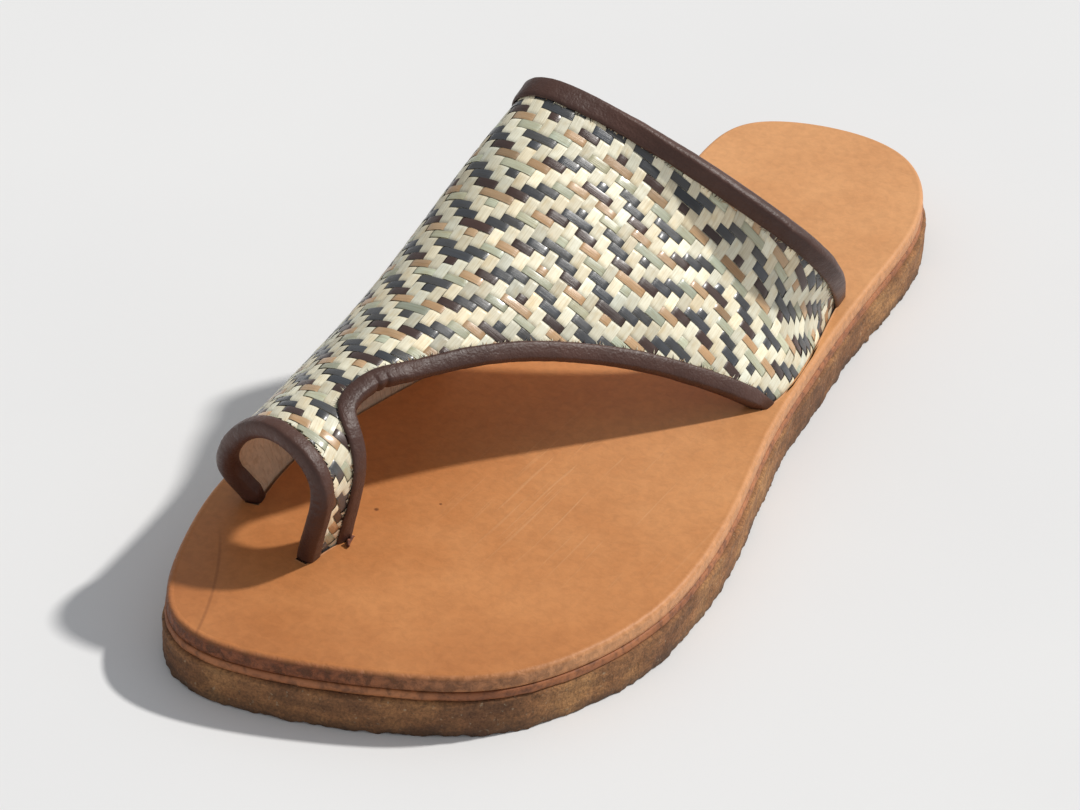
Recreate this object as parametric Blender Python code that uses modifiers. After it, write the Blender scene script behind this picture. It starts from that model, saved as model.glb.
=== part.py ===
"""Left toe-loop sandal: crepe outsole, thin midsole, leather insole, and one woven straw upper
that is a wide band over the instep drawn forward into a loop round the big toe, its free edges
bound in leather.

All sizes below are millimetres. Toe towards -Y, heel +Y, medial side -X, lateral side +X,
sole bottom on z = 0. The meshes are made in metres.
"""

import bmesh
import bpy
import numpy as np
from mathutils.geometry import delaunay_2d_cdt

MM = 0.001
MIDDLE = (2.69, 0.04)   # middle of the sole's length and width, where the object's origin goes
GAP = 0.3               # clearance between pieces that touch

# Sole layers, from the floor up
OUTSOLE_T = 8.5
MIDSOLE_T = 1.7
INSOLE_T = 3.7
OUTSOLE_GROW = 0.9      # how far the crepe stands proud of the insole's edge
MIDSOLE_GROW = 0.4
CREPE_WAVER = 0.25      # height of the slow wander of the crepe's cut side

MIDSOLE_Z = OUTSOLE_T + GAP
INSOLE_Z = MIDSOLE_Z + MIDSOLE_T + GAP
INSOLE_TOP = INSOLE_Z + INSOLE_T

# Outline of the insole, a row for each station from toe to heel: y, medial edge x, lateral edge x
OUTLINE = (
    (-100, -41.5, 39.5),
    (-75, -47.0, 51.0),
    (-50, -44.5, 52.5),
    (-25, -38.5, 48.5),
    (0, -32.0, 42.5),
    (25, -27.5, 38.5),
    (50, -25.0, 35.5),
    (75, -25.0, 33.5),
    (100, -27.2, 29.8),
)
TOE_END = ((19.0, -114.5), (-8.0, -124.3), (-29.5, -121.5))     # lateral to medial: x, y
HEEL_END = ((-22.5, 117.0), (-3.5, 125.0), (17.0, 120.5))       # medial to lateral: x, y

# Guide sections of the upper's form, a row for each section from the loop to the collar.
# The form is a smooth surface drawn towards these guides; heights are above the insole.
# foot_y, foot_x: where the medial side meets the insole
# side_x, side_h: guide of the medial side; top_x, top_h: guide of the crown
# out_x, out_h: guide of the lateral side; end_x: where the lateral side meets the insole
# skew: how much further back the lateral foot lies; lean: how much further back the crown lies
SECTIONS = (
    (-83.5, -37.0, -44.5, 9.0, -29.5, 34.0, -5.5, 22.0, -15.5, -11.5, -5.5),
    (-67.5, -41.0, -45.5, 15.0, -25.0, 33.0, -9.0, 26.0, -14.0, -6.0, 0.5),
    (-46.5, -39.0, -42.5, 23.0, -21.0, 37.5, -5.5, 32.0, 7.5, 2.5, -1.0),
    (-23.5, -33.5, -40.5, 34.0, -21.0, 45.5, 1.0, 36.0, 33.0, 13.0, -5.0),
    (2.5, -27.5, -38.0, 47.0, -20.0, 59.0, 13.5, 35.0, 40.5, 17.5, -12.0),
    (26.0, -23.0, -35.5, 53.0, -19.5, 66.5, 31.0, 17.0, 32.5, 17.0, -21.0),
    (44.5, -21.5, -34.5, 49.5, -27.0, 66.5, 49.5, 31.0, 30.0, 15.0, -37.0),
)

# Cut edge of the upper between its loop and its band. The notch opens from NOTCH_T towards the
# lateral side; its rows give, at a share of the way out, where the leg's edge and the band's
# throat edge lie along the form (0 at the loop, 1 at the collar).
NOTCH_T = 0.637
NOTCH = (
    (0.00, 0.098, 0.098),
    (0.15, 0.080, 0.120),
    (0.35, 0.0705, 0.154),
    (0.55, 0.0655, 0.228),
    (0.70, 0.063, 0.343),
    (0.85, 0.0605, 0.497),
    (1.00, 0.0565, 0.652),
)
FREE_EDGE = 0.010       # the loop's and the collar's cut edge, as a share of the form's length

# Plaiting: flat cream strips run from toe to heel, coloured strips cross them
MAT_CENTRE = (0.667, 0.7215)    # a crossing in the middle of the band, on the form
MAT_ROW, MAT_COLUMN = 2, 12     # its count: coloured strips towards the heel, cream ones outward
ALONG_TURN = -31.4              # degrees, cream strips from the form's own lengthwise line
ACROSS_TURN = -34.8             # degrees, coloured strips from the square across it
ROW_PITCH = 2.13                # between coloured strips
COLUMN_PITCH = 2.47             # between cream strips
ZIGZAG = 7                      # cream strips from one turn of the twill to the next
ROWS = (-52, 27)                # counted strips that the mat is laid out over
COLUMNS = (-34, 48)
MAT_STEP = 0.03                 # largest single correction on the form while the mat is laid
SOUND_AREA = 0.55               # least area of a cell that is counted on, as a share of a full one
SOUND_LENGTH = 1.1              # longest side of such a cell, as a share of the pitch
WALL_T = 1.9                    # straw mat and its lining together
STRIP_RAISE = 0.4               # how far the strips on top stand out
STRAW_CLEAR = 1.1               # from the wall's cut edge to the nearest crossing
LINK_CLEAR = 0.9                # from the wall's cut edge to the middle of a twill step
LINK_REACH = 1.4                # longest twill step, as a share of a cell's diagonal
FOOT_CLEAR = 0.01               # share of the girth at each foot where no straw is raised
BARE_REACH = 4.0                # places further than this from any crossing get a plain point

FOOT_DEPTH = 3.3                # how far the upper goes down into its slits
SLIT_END = 1.2                  # spare length at each end of a slit
SLIT_CLEAR = 0.35               # and on each side of the wall

# Leather binding folded over a free edge
BIND_T = 0.7
BIND_LEG = 2.9                  # from the wall's cut edge to the strip's own edge
BIND_GAP = 0.45                 # between the wall and the strip round it
BIND_CLEAR = 1.2                # from the strip's edge to the first raised straw
FOLD_POINTS = 5                 # points round the fold
END_CLEAR = 0.15                # a section this far above the insole is kept whole

INSOLE_RIM = 1.1                # rounding of the insole's edge
LAYER_RIM = 0.35
RIM_ANGLE = 50                  # edges that turn by more than this are eased
OUTLINE_POINTS = 66


def material(name, colour, roughness):
    made = bpy.data.materials.new(name)
    made.use_nodes = True
    shader = made.node_tree.nodes["Principled BSDF"]
    shader.inputs["Base Color"].default_value = (*colour, 1.0)
    shader.inputs["Roughness"].default_value = roughness
    shader.inputs["Metallic"].default_value = 0.0
    return made


def put(name, bm, look, group):
    """Turn a bmesh in millimetres into a named object in metres, about the sole's middle."""
    bmesh.ops.translate(bm, vec=(-MIDDLE[0], -MIDDLE[1], 0), verts=bm.verts)
    bmesh.ops.scale(bm, vec=(MM, MM, MM), verts=bm.verts)
    mesh = bpy.data.meshes.new(name)
    bm.to_mesh(mesh)
    bm.free()
    made = bpy.data.objects.new(name, mesh)
    if look:
        mesh.materials.append(look)
    group.objects.link(made)
    return made


def unit(vectors):
    return vectors / np.linalg.norm(vectors, axis=-1, keepdims=True)


def basis(x, count):
    """Weights at x (0 to 1) of a smooth cubic curve drawn towards count guides."""
    knots = np.r_[np.zeros(3), np.linspace(0, 1, count - 2), np.ones(3)]
    x = np.clip(np.asarray(x, float), 0, 1 - 1e-9)
    level = [((x >= a) & (x < b)).astype(float) for a, b in zip(knots[:-1], knots[1:])]
    for d in range(1, 4):
        raised = []
        for i in range(len(level) - 1):
            rise, fall = knots[i + d] - knots[i], knots[i + d + 1] - knots[i + 1]
            up = level[i] * (x - knots[i]) / rise if rise else 0 * x
            down = level[i + 1] * (knots[i + d + 1] - x) / fall if fall else 0 * x
            raised.append(up + down)
        level = raised
    return np.stack(level, -1)


def closed_curve(points, count):
    """Evenly spaced points along the smooth closed curve through the given points."""
    points = np.asarray(points, float)
    size = len(points)
    weights = np.eye(size) * 4 + np.roll(np.eye(size), 1, 0) + np.roll(np.eye(size), -1, 0)
    guides = np.linalg.solve(weights / 6, points)
    whole = np.arange(0, size, 0.05)
    i, f = whole.astype(int), (whole % 1)[:, None]
    around = [guides[(i + k) % size] for k in (-1, 0, 1, 2)]
    curve = (around[0] * (1 - f) ** 3 + around[1] * (3 * f ** 3 - 6 * f ** 2 + 4)
             + around[2] * (-3 * f ** 3 + 3 * f ** 2 + 3 * f + 1) + around[3] * f ** 3) / 6
    closed = np.vstack([curve, curve[:1]])
    length = np.r_[0, np.cumsum(np.linalg.norm(np.diff(closed, axis=0), axis=1))]
    at = np.linspace(0, length[-1], count, endpoint=False)
    return np.stack([np.interp(at, length, closed[:, k]) for k in (0, 1)], 1)


def outward(loop):
    """Unit normals of a closed counter-clockwise outline, pointing away from its inside."""
    along = unit(np.roll(loop, -1, 0) - np.roll(loop, 1, 0))
    return np.stack([along[:, 1], -along[:, 0]], 1)


def sole_outline():
    medial = [(x, y) for y, x, _ in OUTLINE]
    lateral = [(x, y) for y, _, x in OUTLINE]
    loop = closed_curve([*lateral[::-1], *TOE_END, *medial, *HEEL_END], OUTLINE_POINTS)
    return loop[::-1]


def slab(name, loop, bottom, thickness, rim, look, group):
    """A layer of the sole: its outline, given thickness, with the rims eased."""
    bm = bmesh.new()
    face = bm.faces.new([bm.verts.new((x, y, bottom)) for x, y in loop])
    face.normal_update()
    if face.normal.z < 0:
        face.normal_flip()
    layer = put(name, bm, look, group)
    thick = layer.modifiers.new("thickness", "SOLIDIFY")
    thick.thickness = thickness * MM
    thick.offset = 1
    ease = layer.modifiers.new("rims", "BEVEL")
    ease.width = rim * MM
    ease.segments = 2
    ease.limit_method = "ANGLE"
    ease.angle_limit = np.radians(RIM_ANGLE)
    return layer


class Form:
    """The smooth surface that the straw follows: s runs from the loop (0) to the collar (1),
    t from the medial foot (0) over the crown to the lateral foot (1). Past the feet it drops
    straight down; past its ends it carries straight on."""

    SIZE = 81
    LENGTH = 110.0      # mean length from loop to collar
    GIRTH = 150.0       # mean length across, and the drop for each 1 of t past the feet

    def __init__(self):
        foot_y, foot_x, side_x, side_h, top_x, top_h, out_x, out_h, end_x, skew, lean = (
            np.array(SECTIONS, float).T)

        def guide(x, across, height, forward):
            y = foot_y + skew * across + lean * forward
            return np.stack([x, y, INSOLE_TOP + height], -1)

        level = 0 * foot_y
        guides = np.stack([
            guide(foot_x, 0, level, 0),
            guide(foot_x + (side_x - foot_x) * 0.3, 0, side_h * 0.45, 0.35),
            guide(side_x, 0.15, side_h, 0.8),
            guide(top_x, 0.4, top_h, 1),
            guide(out_x, 0.8, out_h, 0.8),
            guide(end_x + (out_x - end_x) * 0.3, 1, out_h * 0.45, 0.35),
            guide(end_x, 1, level, 0)], 1)
        step = np.linspace(0, 1, self.SIZE)
        weights = basis(step, 7)
        self.place = np.einsum("si,tj,ijk->stk", weights, weights, guides)
        self.along = np.gradient(self.place, step, axis=0, edge_order=2)
        self.across = np.gradient(self.place, step, axis=1, edge_order=2)

    def at(self, s, t):
        """Places on the form and its two directions there."""
        s, t = np.broadcast_arrays(np.asarray(s, float), np.asarray(t, float))
        inner_s, inner_t = np.clip(s, 0, 1), np.clip(t, 0, 1)
        a, b = inner_s * (self.SIZE - 1), inner_t * (self.SIZE - 1)
        i = np.minimum(a.astype(int), self.SIZE - 2)
        j = np.minimum(b.astype(int), self.SIZE - 2)
        fa, fb = (a - i)[..., None], (b - j)[..., None]

        def read(table):
            near = table[i, j] * (1 - fb) + table[i, j + 1] * fb
            far = table[i + 1, j] * (1 - fb) + table[i + 1, j + 1] * fb
            return near * (1 - fa) + far * fa

        along, across = read(self.along), read(self.across)
        drop = np.stack([0 * t, 0 * t, np.where(t < 0, self.GIRTH, -self.GIRTH)], -1)
        across = np.where(((t < 0) | (t > 1))[..., None], drop, across)
        place = read(self.place) + (s - inner_s)[..., None] * along
        return place + (t - inner_t)[..., None] * across, along, across

    def normal(self, s, t):
        _, along, across = self.at(s, t)
        return unit(np.cross(across, along))


def lay_line(form, start, heading, pitch, count):
    """Straight strip on the form: equal steps of pitch from start, first along heading."""
    line = [np.array(start, float)]
    here, along, across = form.at(*start)
    for _ in range(count):
        step = np.linalg.lstsq(np.stack([along, across], 1), heading, rcond=None)[0]
        step *= pitch / np.linalg.norm(step[0] * along + step[1] * across)
        there = form.at(*(line[-1] + step))[0]
        step *= pitch / np.linalg.norm(there - here)
        line.append(line[-1] + step)
        there, along, across = form.at(*line[-1])
        heading, here = there - here, there
    return np.array(line)


def fill_quarter(form, rows, columns):
    """Crossings between a line of rows and a line of columns, each one ROW_PITCH from the
    crossing before it along its cream strip and COLUMN_PITCH along its coloured strip."""
    where = np.zeros((len(rows), len(columns), 2))
    where[:, 0], where[0] = rows, columns
    place = form.at(where[..., 0], where[..., 1])[0]
    for k in range(2, len(rows) + len(columns) - 1):
        i = np.arange(max(1, k - len(columns) + 1), min(len(rows), k))
        j = k - i
        below, beside = place[i - 1, j], place[i, j - 1]
        guess = where[i - 1, j] + where[i, j - 1] - where[i - 1, j - 1]
        for _ in range(3):
            here, along, across = form.at(guess[:, 0], guess[:, 1])
            up, out = here - below, here - beside
            miss_up = (up ** 2).sum(1) - ROW_PITCH ** 2
            miss_out = (out ** 2).sum(1) - COLUMN_PITCH ** 2
            a, b = 2 * (up * along).sum(1), 2 * (up * across).sum(1)
            c, d = 2 * (out * along).sum(1), 2 * (out * across).sum(1)
            det = a * d - b * c
            det = np.where(np.abs(det) < 1e-6, 1e-6, det)
            move = np.stack([d * miss_up - b * miss_out, a * miss_out - c * miss_up], 1)
            guess = guess - np.clip(move / det[:, None], -MAT_STEP, MAT_STEP)
        where[i, j] = guess
        place[i, j] = form.at(guess[:, 0], guess[:, 1])[0]
    return where


def lay_mat(form):
    """Where on the form each crossing of a coloured row and a cream column lies, and which of
    them are sound: near the collar's ends the strips close up and can't be counted on."""
    _, along, across = form.at(*MAT_CENTRE)
    ahead = unit(along)
    aside = unit(across - (across @ ahead) * ahead)
    turn, tilt = np.radians(ALONG_TURN), np.radians(ACROSS_TURN)
    up = ahead * np.cos(turn) + aside * np.sin(turn)
    out = aside * np.cos(tilt) - ahead * np.sin(tilt)
    where = np.zeros((ROWS[1] - ROWS[0] + 1, COLUMNS[1] - COLUMNS[0] + 1, 2))
    centre_i, centre_j = MAT_ROW - ROWS[0], MAT_COLUMN - COLUMNS[0]
    for up_sign, row_count in ((1, ROWS[1] - MAT_ROW), (-1, MAT_ROW - ROWS[0])):
        rows = lay_line(form, MAT_CENTRE, up * up_sign, ROW_PITCH, row_count)
        for out_sign, column_count in ((1, COLUMNS[1] - MAT_COLUMN), (-1, MAT_COLUMN - COLUMNS[0])):
            columns = lay_line(form, MAT_CENTRE, out * out_sign, COLUMN_PITCH, column_count)
            i = centre_i + up_sign * np.arange(row_count + 1)
            j = centre_j + out_sign * np.arange(column_count + 1)
            where[np.ix_(i, j)] = fill_quarter(form, rows, columns)
    place = form.at(where[..., 0], where[..., 1])[0]
    up, out = place[1:, :-1] - place[:-1, :-1], place[:-1, 1:] - place[:-1, :-1]
    area = np.linalg.norm(np.cross(up, out), axis=-1) / (ROW_PITCH * COLUMN_PITCH)
    long = np.maximum(np.linalg.norm(up, axis=-1) / ROW_PITCH,
                      np.linalg.norm(out, axis=-1) / COLUMN_PITCH)
    sound = np.zeros(where.shape[:2], bool)
    sound[:-1, :-1] = (area > SOUND_AREA) & (long < SOUND_LENGTH)
    return where, sound


def zigzag(column):
    """Cream strips from a column to the nearest forward turn of the twill."""
    return np.abs((column + ZIGZAG) % (2 * ZIGZAG) - ZIGZAG)


def coloured_on_top(row, column):
    """Two over, two under, stepping one row for each column, to and fro."""
    return (row - 2 - zigzag(column)) % 4 < 2


def notch_edges(shares):
    """Where the leg's edge, the throat's edge and the line across lie, at shares of the way."""
    rows = np.array(NOTCH)
    guides = np.linalg.solve(basis(rows[:, 0], len(rows)), rows[:, 1:])
    leg, throat = (basis(shares, len(rows)) @ guides).T
    return leg, throat, NOTCH_T + (1 - NOTCH_T) * np.asarray(shares) ** 2


LEG_ROWS = 6            # faces from the loop's edge to the notch
BAND_ROWS = 18          # faces from the notch to the collar
SHARED_COLUMNS = 26     # faces from the medial foot to the notch
NOTCH_COLUMNS = 21      # faces from the notch to the lateral foot
CLOSER = 1.2            # how much closer the columns stand near the feet


def panel_grids(form):
    """Two grids of places on the form, for the leg and the band, that share the notch's row as
    far as the notch. Their first and last columns are the edges down in the slits."""
    shares = 1 - (1 - np.linspace(0, 1, NOTCH_COLUMNS + 1)) ** CLOSER
    leg, throat, out = notch_edges(shares)
    start = np.full(SHARED_COLUMNS, leg[0])
    t = np.r_[NOTCH_T * np.linspace(0, 1, SHARED_COLUMNS + 1)[:-1] ** CLOSER, out]
    leg, throat = np.r_[start, leg], np.r_[start, throat]
    drop = FOOT_DEPTH / form.GIRTH
    t = np.r_[-drop, t, 1 + drop]
    leg, throat = np.r_[leg[:1], leg, leg[-1:]], np.r_[throat[:1], throat, throat[-1:]]
    low, high = [(0.5 - 0.5 * np.cos(np.linspace(0, np.pi, rows + 1)))[:, None]
                 for rows in (LEG_ROWS, BAND_ROWS)]
    leg_s = FREE_EDGE + (leg - FREE_EDGE) * low
    band_s = throat + (1 - FREE_EDGE - throat) * high
    grids = [np.stack([s, np.broadcast_to(t, s.shape)], -1) for s in (leg_s, band_s)]
    return grids


def panel_ring():
    """Keys (grid, row, column) of the panel's boundary in order, the loop's front edge last."""
    last = SHARED_COLUMNS + NOTCH_COLUMNS + 2
    corner = SHARED_COLUMNS + 1
    ring = [(0, r, 0) for r in range(LEG_ROWS + 1)]
    ring += [(1, r, 0) for r in range(1, BAND_ROWS + 1)]
    ring += [(1, BAND_ROWS, c) for c in range(1, last + 1)]
    ring += [(1, r, last) for r in range(BAND_ROWS - 1, -1, -1)]
    ring += [(1, 0, c) for c in range(last - 1, corner - 1, -1)]
    ring += [(0, LEG_ROWS, c) for c in range(corner + 1, last + 1)]
    ring += [(0, r, last) for r in range(LEG_ROWS - 1, -1, -1)]
    ring += [(0, 0, c) for c in range(last - 1, 0, -1)]
    return ring


def foot_lines(grids):
    """The panel's three lines level with the insole's top, without their ends on the ring."""
    leg, band = grids
    return np.vstack([leg[1:, 1], band[1:-1, 1]]), band[1:-1, -2], leg[1:-1, -2]


def distance(points, starts, ends):
    """How far each point is from the nearest of a set of straight segments."""
    edge = ends - starts
    gap = points[:, None] - starts
    share = np.clip((gap * edge).sum(2) / (edge ** 2).sum(1), 0, 1)
    return np.linalg.norm(gap - share[..., None] * edge, axis=2).min(1)


def inside(points, ring):
    """Which points lie inside a closed polygon."""
    a, b = ring, np.roll(ring, -1, 0)
    edge = b - a
    over = (a[:, 1] > points[:, None, 1]) != (b[:, 1] > points[:, None, 1])
    rise = np.where(edge[:, 1] == 0, 1, edge[:, 1])
    crossing = a[:, 0] + (points[:, None, 1] - a[:, 1]) * edge[:, 0] / rise
    return (over & (points[:, None, 0] < crossing)).sum(1) % 2 == 1


def crossings(form, edge, free):
    """The mat's crossings inside the panel, every second one along each strip: their places on
    the form, their counts, and how far each stands out. edge is the cut edge once round, and
    free tells which of its points a binding covers."""
    flat = np.array([form.LENGTH, form.GIRTH])
    where, sound = lay_mat(form)
    row, column = np.meshgrid(np.arange(ROWS[0], ROWS[1] + 1), np.arange(COLUMNS[0], COLUMNS[1] + 1),
                              indexing="ij")
    rim_start, rim_end = edge * flat, np.roll(edge, -1, 0) * flat
    keep = inside(where[sound] * flat, rim_start)
    keep &= distance(where[sound] * flat, rim_start, rim_end) > STRAW_CLEAR
    keep &= (row[sound] + column[sound]) % 2 == 0
    points, row, column = where[sound][keep], row[sound][keep], column[sound][keep]
    rim_place, place = form.at(*edge.T)[0], form.at(*points.T)[0]
    away = distance(place, rim_place[free], np.roll(rim_place, -1, 0)[free])
    raised = STRIP_RAISE * coloured_on_top(row, column) * np.clip(away - BIND_LEG - BIND_CLEAR, 0, 1)
    raised *= (points[:, 1] > FOOT_CLEAR) & (points[:, 1] < 1 - FOOT_CLEAR)
    return points, row, column, raised


def twill_steps(form, edge, points, row, column):
    """Pairs of crossings that one step of the twill joins, clear of the cut edge."""
    flat = np.array([form.LENGTH, form.GIRTH])
    number = {(i, j): k for k, (i, j) in enumerate(zip(row, column))}
    pairs = [(k, number.get((i + int(zigzag(j + 1) - zigzag(j)), j + 1)))
             for (i, j), k in number.items()]
    pairs = np.array([pair for pair in pairs if pair[1] is not None])
    reach = np.linalg.norm(np.diff(form.at(*points[pairs].T)[0], axis=0)[0], axis=-1)
    middle = points[pairs].mean(1) * flat
    usable = inside(middle, edge * flat)
    usable &= distance(middle, edge * flat, np.roll(edge, -1, 0) * flat) > LINK_CLEAR
    usable &= reach < LINK_REACH * np.hypot(ROW_PITCH, COLUMN_PITCH)
    return pairs[usable]


def outer_sheet(form, grids, edge, free):
    """The straw face: places, triangles, and the number of each point of the cut edge."""
    flat = np.array([form.LENGTH, form.GIRTH])
    points, row, column, raised = crossings(form, edge, free)
    links = [(k, (k + 1) % len(edge)) for k in range(len(edge))]
    links += [(a, b) for a, b in (twill_steps(form, edge, points, row, column) + len(edge)).tolist()]
    plain = grids[1][2:-2, 2:-2].reshape(-1, 2)
    bare = distance(plain * flat, points * flat, points * flat + 1e-3) > BARE_REACH
    mat_st = np.vstack([edge, points, plain[bare]])
    for line in foot_lines(grids):
        first = len(mat_st) - 1
        links += [(first + k, first + k + 1) for k in range(1, len(line))]
        mat_st = np.vstack([mat_st, line])
    flat_out, _, faces, source, _, _ = delaunay_2d_cdt([tuple(p) for p in mat_st * flat], links, [],
                                                       1, 1e-6)
    height = np.r_[np.zeros(len(edge)), raised, np.zeros(len(mat_st))]
    height = np.array([height[s[0]] if s else 0 for s in source])[:, None]
    outer_st = np.array(flat_out) / flat
    outer = form.at(*outer_st.T)[0] + form.normal(*outer_st.T) * height
    return outer, faces, {s[0]: k for k, s in enumerate(source) if s and s[0] < len(edge)}


def upper(form, grids, ring, look, group):
    """The straw panel with its lining: an outer sheet with the strips on top raised, a plain
    inner sheet, and a rim that joins them along the cut edge."""
    edge = np.array([grids[g][r, c] for g, r, c in ring])
    free = np.array([r in (0, LEG_ROWS if g == 0 else BAND_ROWS) for g, r, c in ring])
    free &= np.array([0 < c < SHARED_COLUMNS + NOTCH_COLUMNS + 2 for g, r, c in ring])
    outer, faces, rim = outer_sheet(form, grids, edge, free)
    inner = [form.at(grid[..., 0], grid[..., 1])[0] - form.normal(grid[..., 0], grid[..., 1]) * WALL_T
             for grid in grids]

    bm = bmesh.new()
    out_verts = [bm.verts.new(p) for p in outer]
    for face in faces:
        bm.faces.new([out_verts[k] for k in face])
    spots = {}

    def inner_vert(g, r, c):
        key = (0, LEG_ROWS, c) if (g, r) == (1, 0) and c <= SHARED_COLUMNS + 1 else (g, r, c)
        if key not in spots:
            spots[key] = bm.verts.new(inner[g][r, c])
        return spots[key]

    for g, grid in enumerate(grids):
        for r in range(grid.shape[0] - 1):
            for c in range(grid.shape[1] - 1):
                corners = ((r, c), (r, c + 1), (r + 1, c + 1), (r + 1, c))
                bm.faces.new([inner_vert(g, *corner) for corner in corners])
    for k, key in enumerate(ring):
        after = (k + 1) % len(ring)
        bm.faces.new([out_verts[rim[k]], out_verts[rim[after]], inner_vert(*ring[after]),
                      inner_vert(*key)])
    bmesh.ops.recalc_face_normals(bm, faces=bm.faces)
    return put("upper", bm, look, group)


def binding_section():
    """The folded strip's section round a cut edge: distance inward over the wall, and height
    above the wall's outer face, anticlockwise from the outer leaf's edge."""
    top, low = BIND_GAP, -WALL_T - BIND_GAP
    middle, half = (top + low) / 2, (top - low) / 2 + BIND_T
    turn = np.linspace(0, np.pi, FOLD_POINTS)
    fold = [(-(BIND_GAP + BIND_T) * np.sin(a), middle + half * np.cos(a)) for a in turn]
    outer_leaf = [(BIND_LEG, top), (BIND_LEG, top + BIND_T)]
    inner_leaf = [(BIND_LEG, low - BIND_T), (BIND_LEG, low), (BIND_LEG / 2, low)]
    bend = [(0, low), (-BIND_GAP, -WALL_T), (-BIND_GAP, 0), (0, top), (BIND_LEG / 2, top)]
    return np.array([*outer_leaf, *fold, *inner_leaf, *bend])


def cut_level(rings, level):
    """Shorten a run of sections at both ends so that each end is flat at the level."""
    for _ in range(2):
        rings = rings[::-1]
        clear = rings[:, :, 2].min(1) > level + END_CLEAR
        first = int(np.argmax(clear))
        end = np.empty_like(rings[0])
        for k in range(len(end)):
            line = rings[:first + 1, k]
            lowest = int(np.argmax(line[:, 2] > level))
            before, after = line[max(lowest - 1, 0)], line[max(lowest, 1)]
            share = (level - before[2]) / (after[2] - before[2])
            end[k] = before + (after - before) * share
        rings = np.concatenate([end[None], rings[first:]])
    return rings


def binding(name, form, edge_st, inward_st, look, group):
    """Folded strip along a free edge. edge_st is the wall's cut edge on the form and inward_st
    a near point inside the panel for each; both ends are cut level just above the insole."""
    place, by_s, by_t = form.at(*edge_st.T)
    length = np.r_[0, np.cumsum(np.linalg.norm(np.diff(place, axis=0), axis=1))]
    along = unit(np.gradient(place, length, axis=0))
    inward = np.cross(form.normal(*edge_st.T), along)
    inward *= np.sign((inward * (form.at(*inward_st.T)[0] - place)).sum(1))[:, None]
    inward = unit(inward)
    ss, st, tt = (by_s ** 2).sum(1), (by_s * by_t).sum(1), (by_t ** 2).sum(1)
    to_s, to_t = (inward * by_s).sum(1), (inward * by_t).sum(1)
    rate = np.stack([tt * to_s - st * to_t, ss * to_t - st * to_s], 1) / (ss * tt - st ** 2)[:, None]
    rings = []
    for depth, height in binding_section():
        at = (edge_st + rate * max(depth, 0)).T
        rings.append(form.at(*at)[0] + form.normal(*at) * height + inward * min(depth, 0))
    rings = cut_level(np.stack(rings, 1), INSOLE_TOP + GAP)
    bm = bmesh.new()
    verts = [[bm.verts.new(p) for p in ring] for ring in rings]
    size = rings.shape[1]
    for first, second in zip(verts[:-1], verts[1:]):
        for k in range(size):
            bm.faces.new([first[k], first[(k + 1) % size], second[(k + 1) % size], second[k]])
    bm.faces.new(verts[0])
    bm.faces.new(verts[-1])
    bmesh.ops.recalc_face_normals(bm, faces=bm.faces)
    return put(name, bm, look, group)


def cut_slit(insole, name, form, s, t, group):
    """Cut the slit that one foot of the upper goes down into."""
    place = form.at(s, np.full_like(s, t))[0][:, :2]
    out = form.normal(s, np.full_like(s, t))[:, :2]
    level = np.linalg.norm(out, axis=1, keepdims=True)
    out = out / level
    along = unit(np.gradient(place, axis=0))
    place[0] -= along[0] * SLIT_END
    place[-1] += along[-1] * SLIT_END
    loop = np.vstack([place + out * SLIT_CLEAR, (place - out * (WALL_T / level + SLIT_CLEAR))[::-1]])
    bm = bmesh.new()
    face = bm.faces.new([bm.verts.new((x, y, INSOLE_Z - 1)) for x, y in loop])
    lifted = bmesh.ops.extrude_face_region(bm, geom=[face])["geom"]
    raised = [v for v in lifted if isinstance(v, bmesh.types.BMVert)]
    bmesh.ops.translate(bm, verts=raised, vec=(0, 0, INSOLE_T + 2))
    bmesh.ops.recalc_face_normals(bm, faces=bm.faces)
    cutter = put(name, bm, None, group)
    cutter.hide_render = True
    cutter.display_type = "WIRE"
    cut = insole.modifiers.new(name, "BOOLEAN")
    cut.operation = "DIFFERENCE"
    cut.solver = "EXACT"
    cut.object = cutter


def crepe_loop(outline):
    """The crepe's outline: proud of the insole, its cut side wandering a little."""
    turn = np.linspace(0, 2 * np.pi, len(outline), endpoint=False)
    wander = CREPE_WAVER * (np.sin(5 * turn + 1) + 0.7 * np.sin(11 * turn) + 0.5 * np.sin(17 * turn + 2))
    return outline + outward(outline) * (OUTSOLE_GROW + wander)[:, None]


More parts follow.
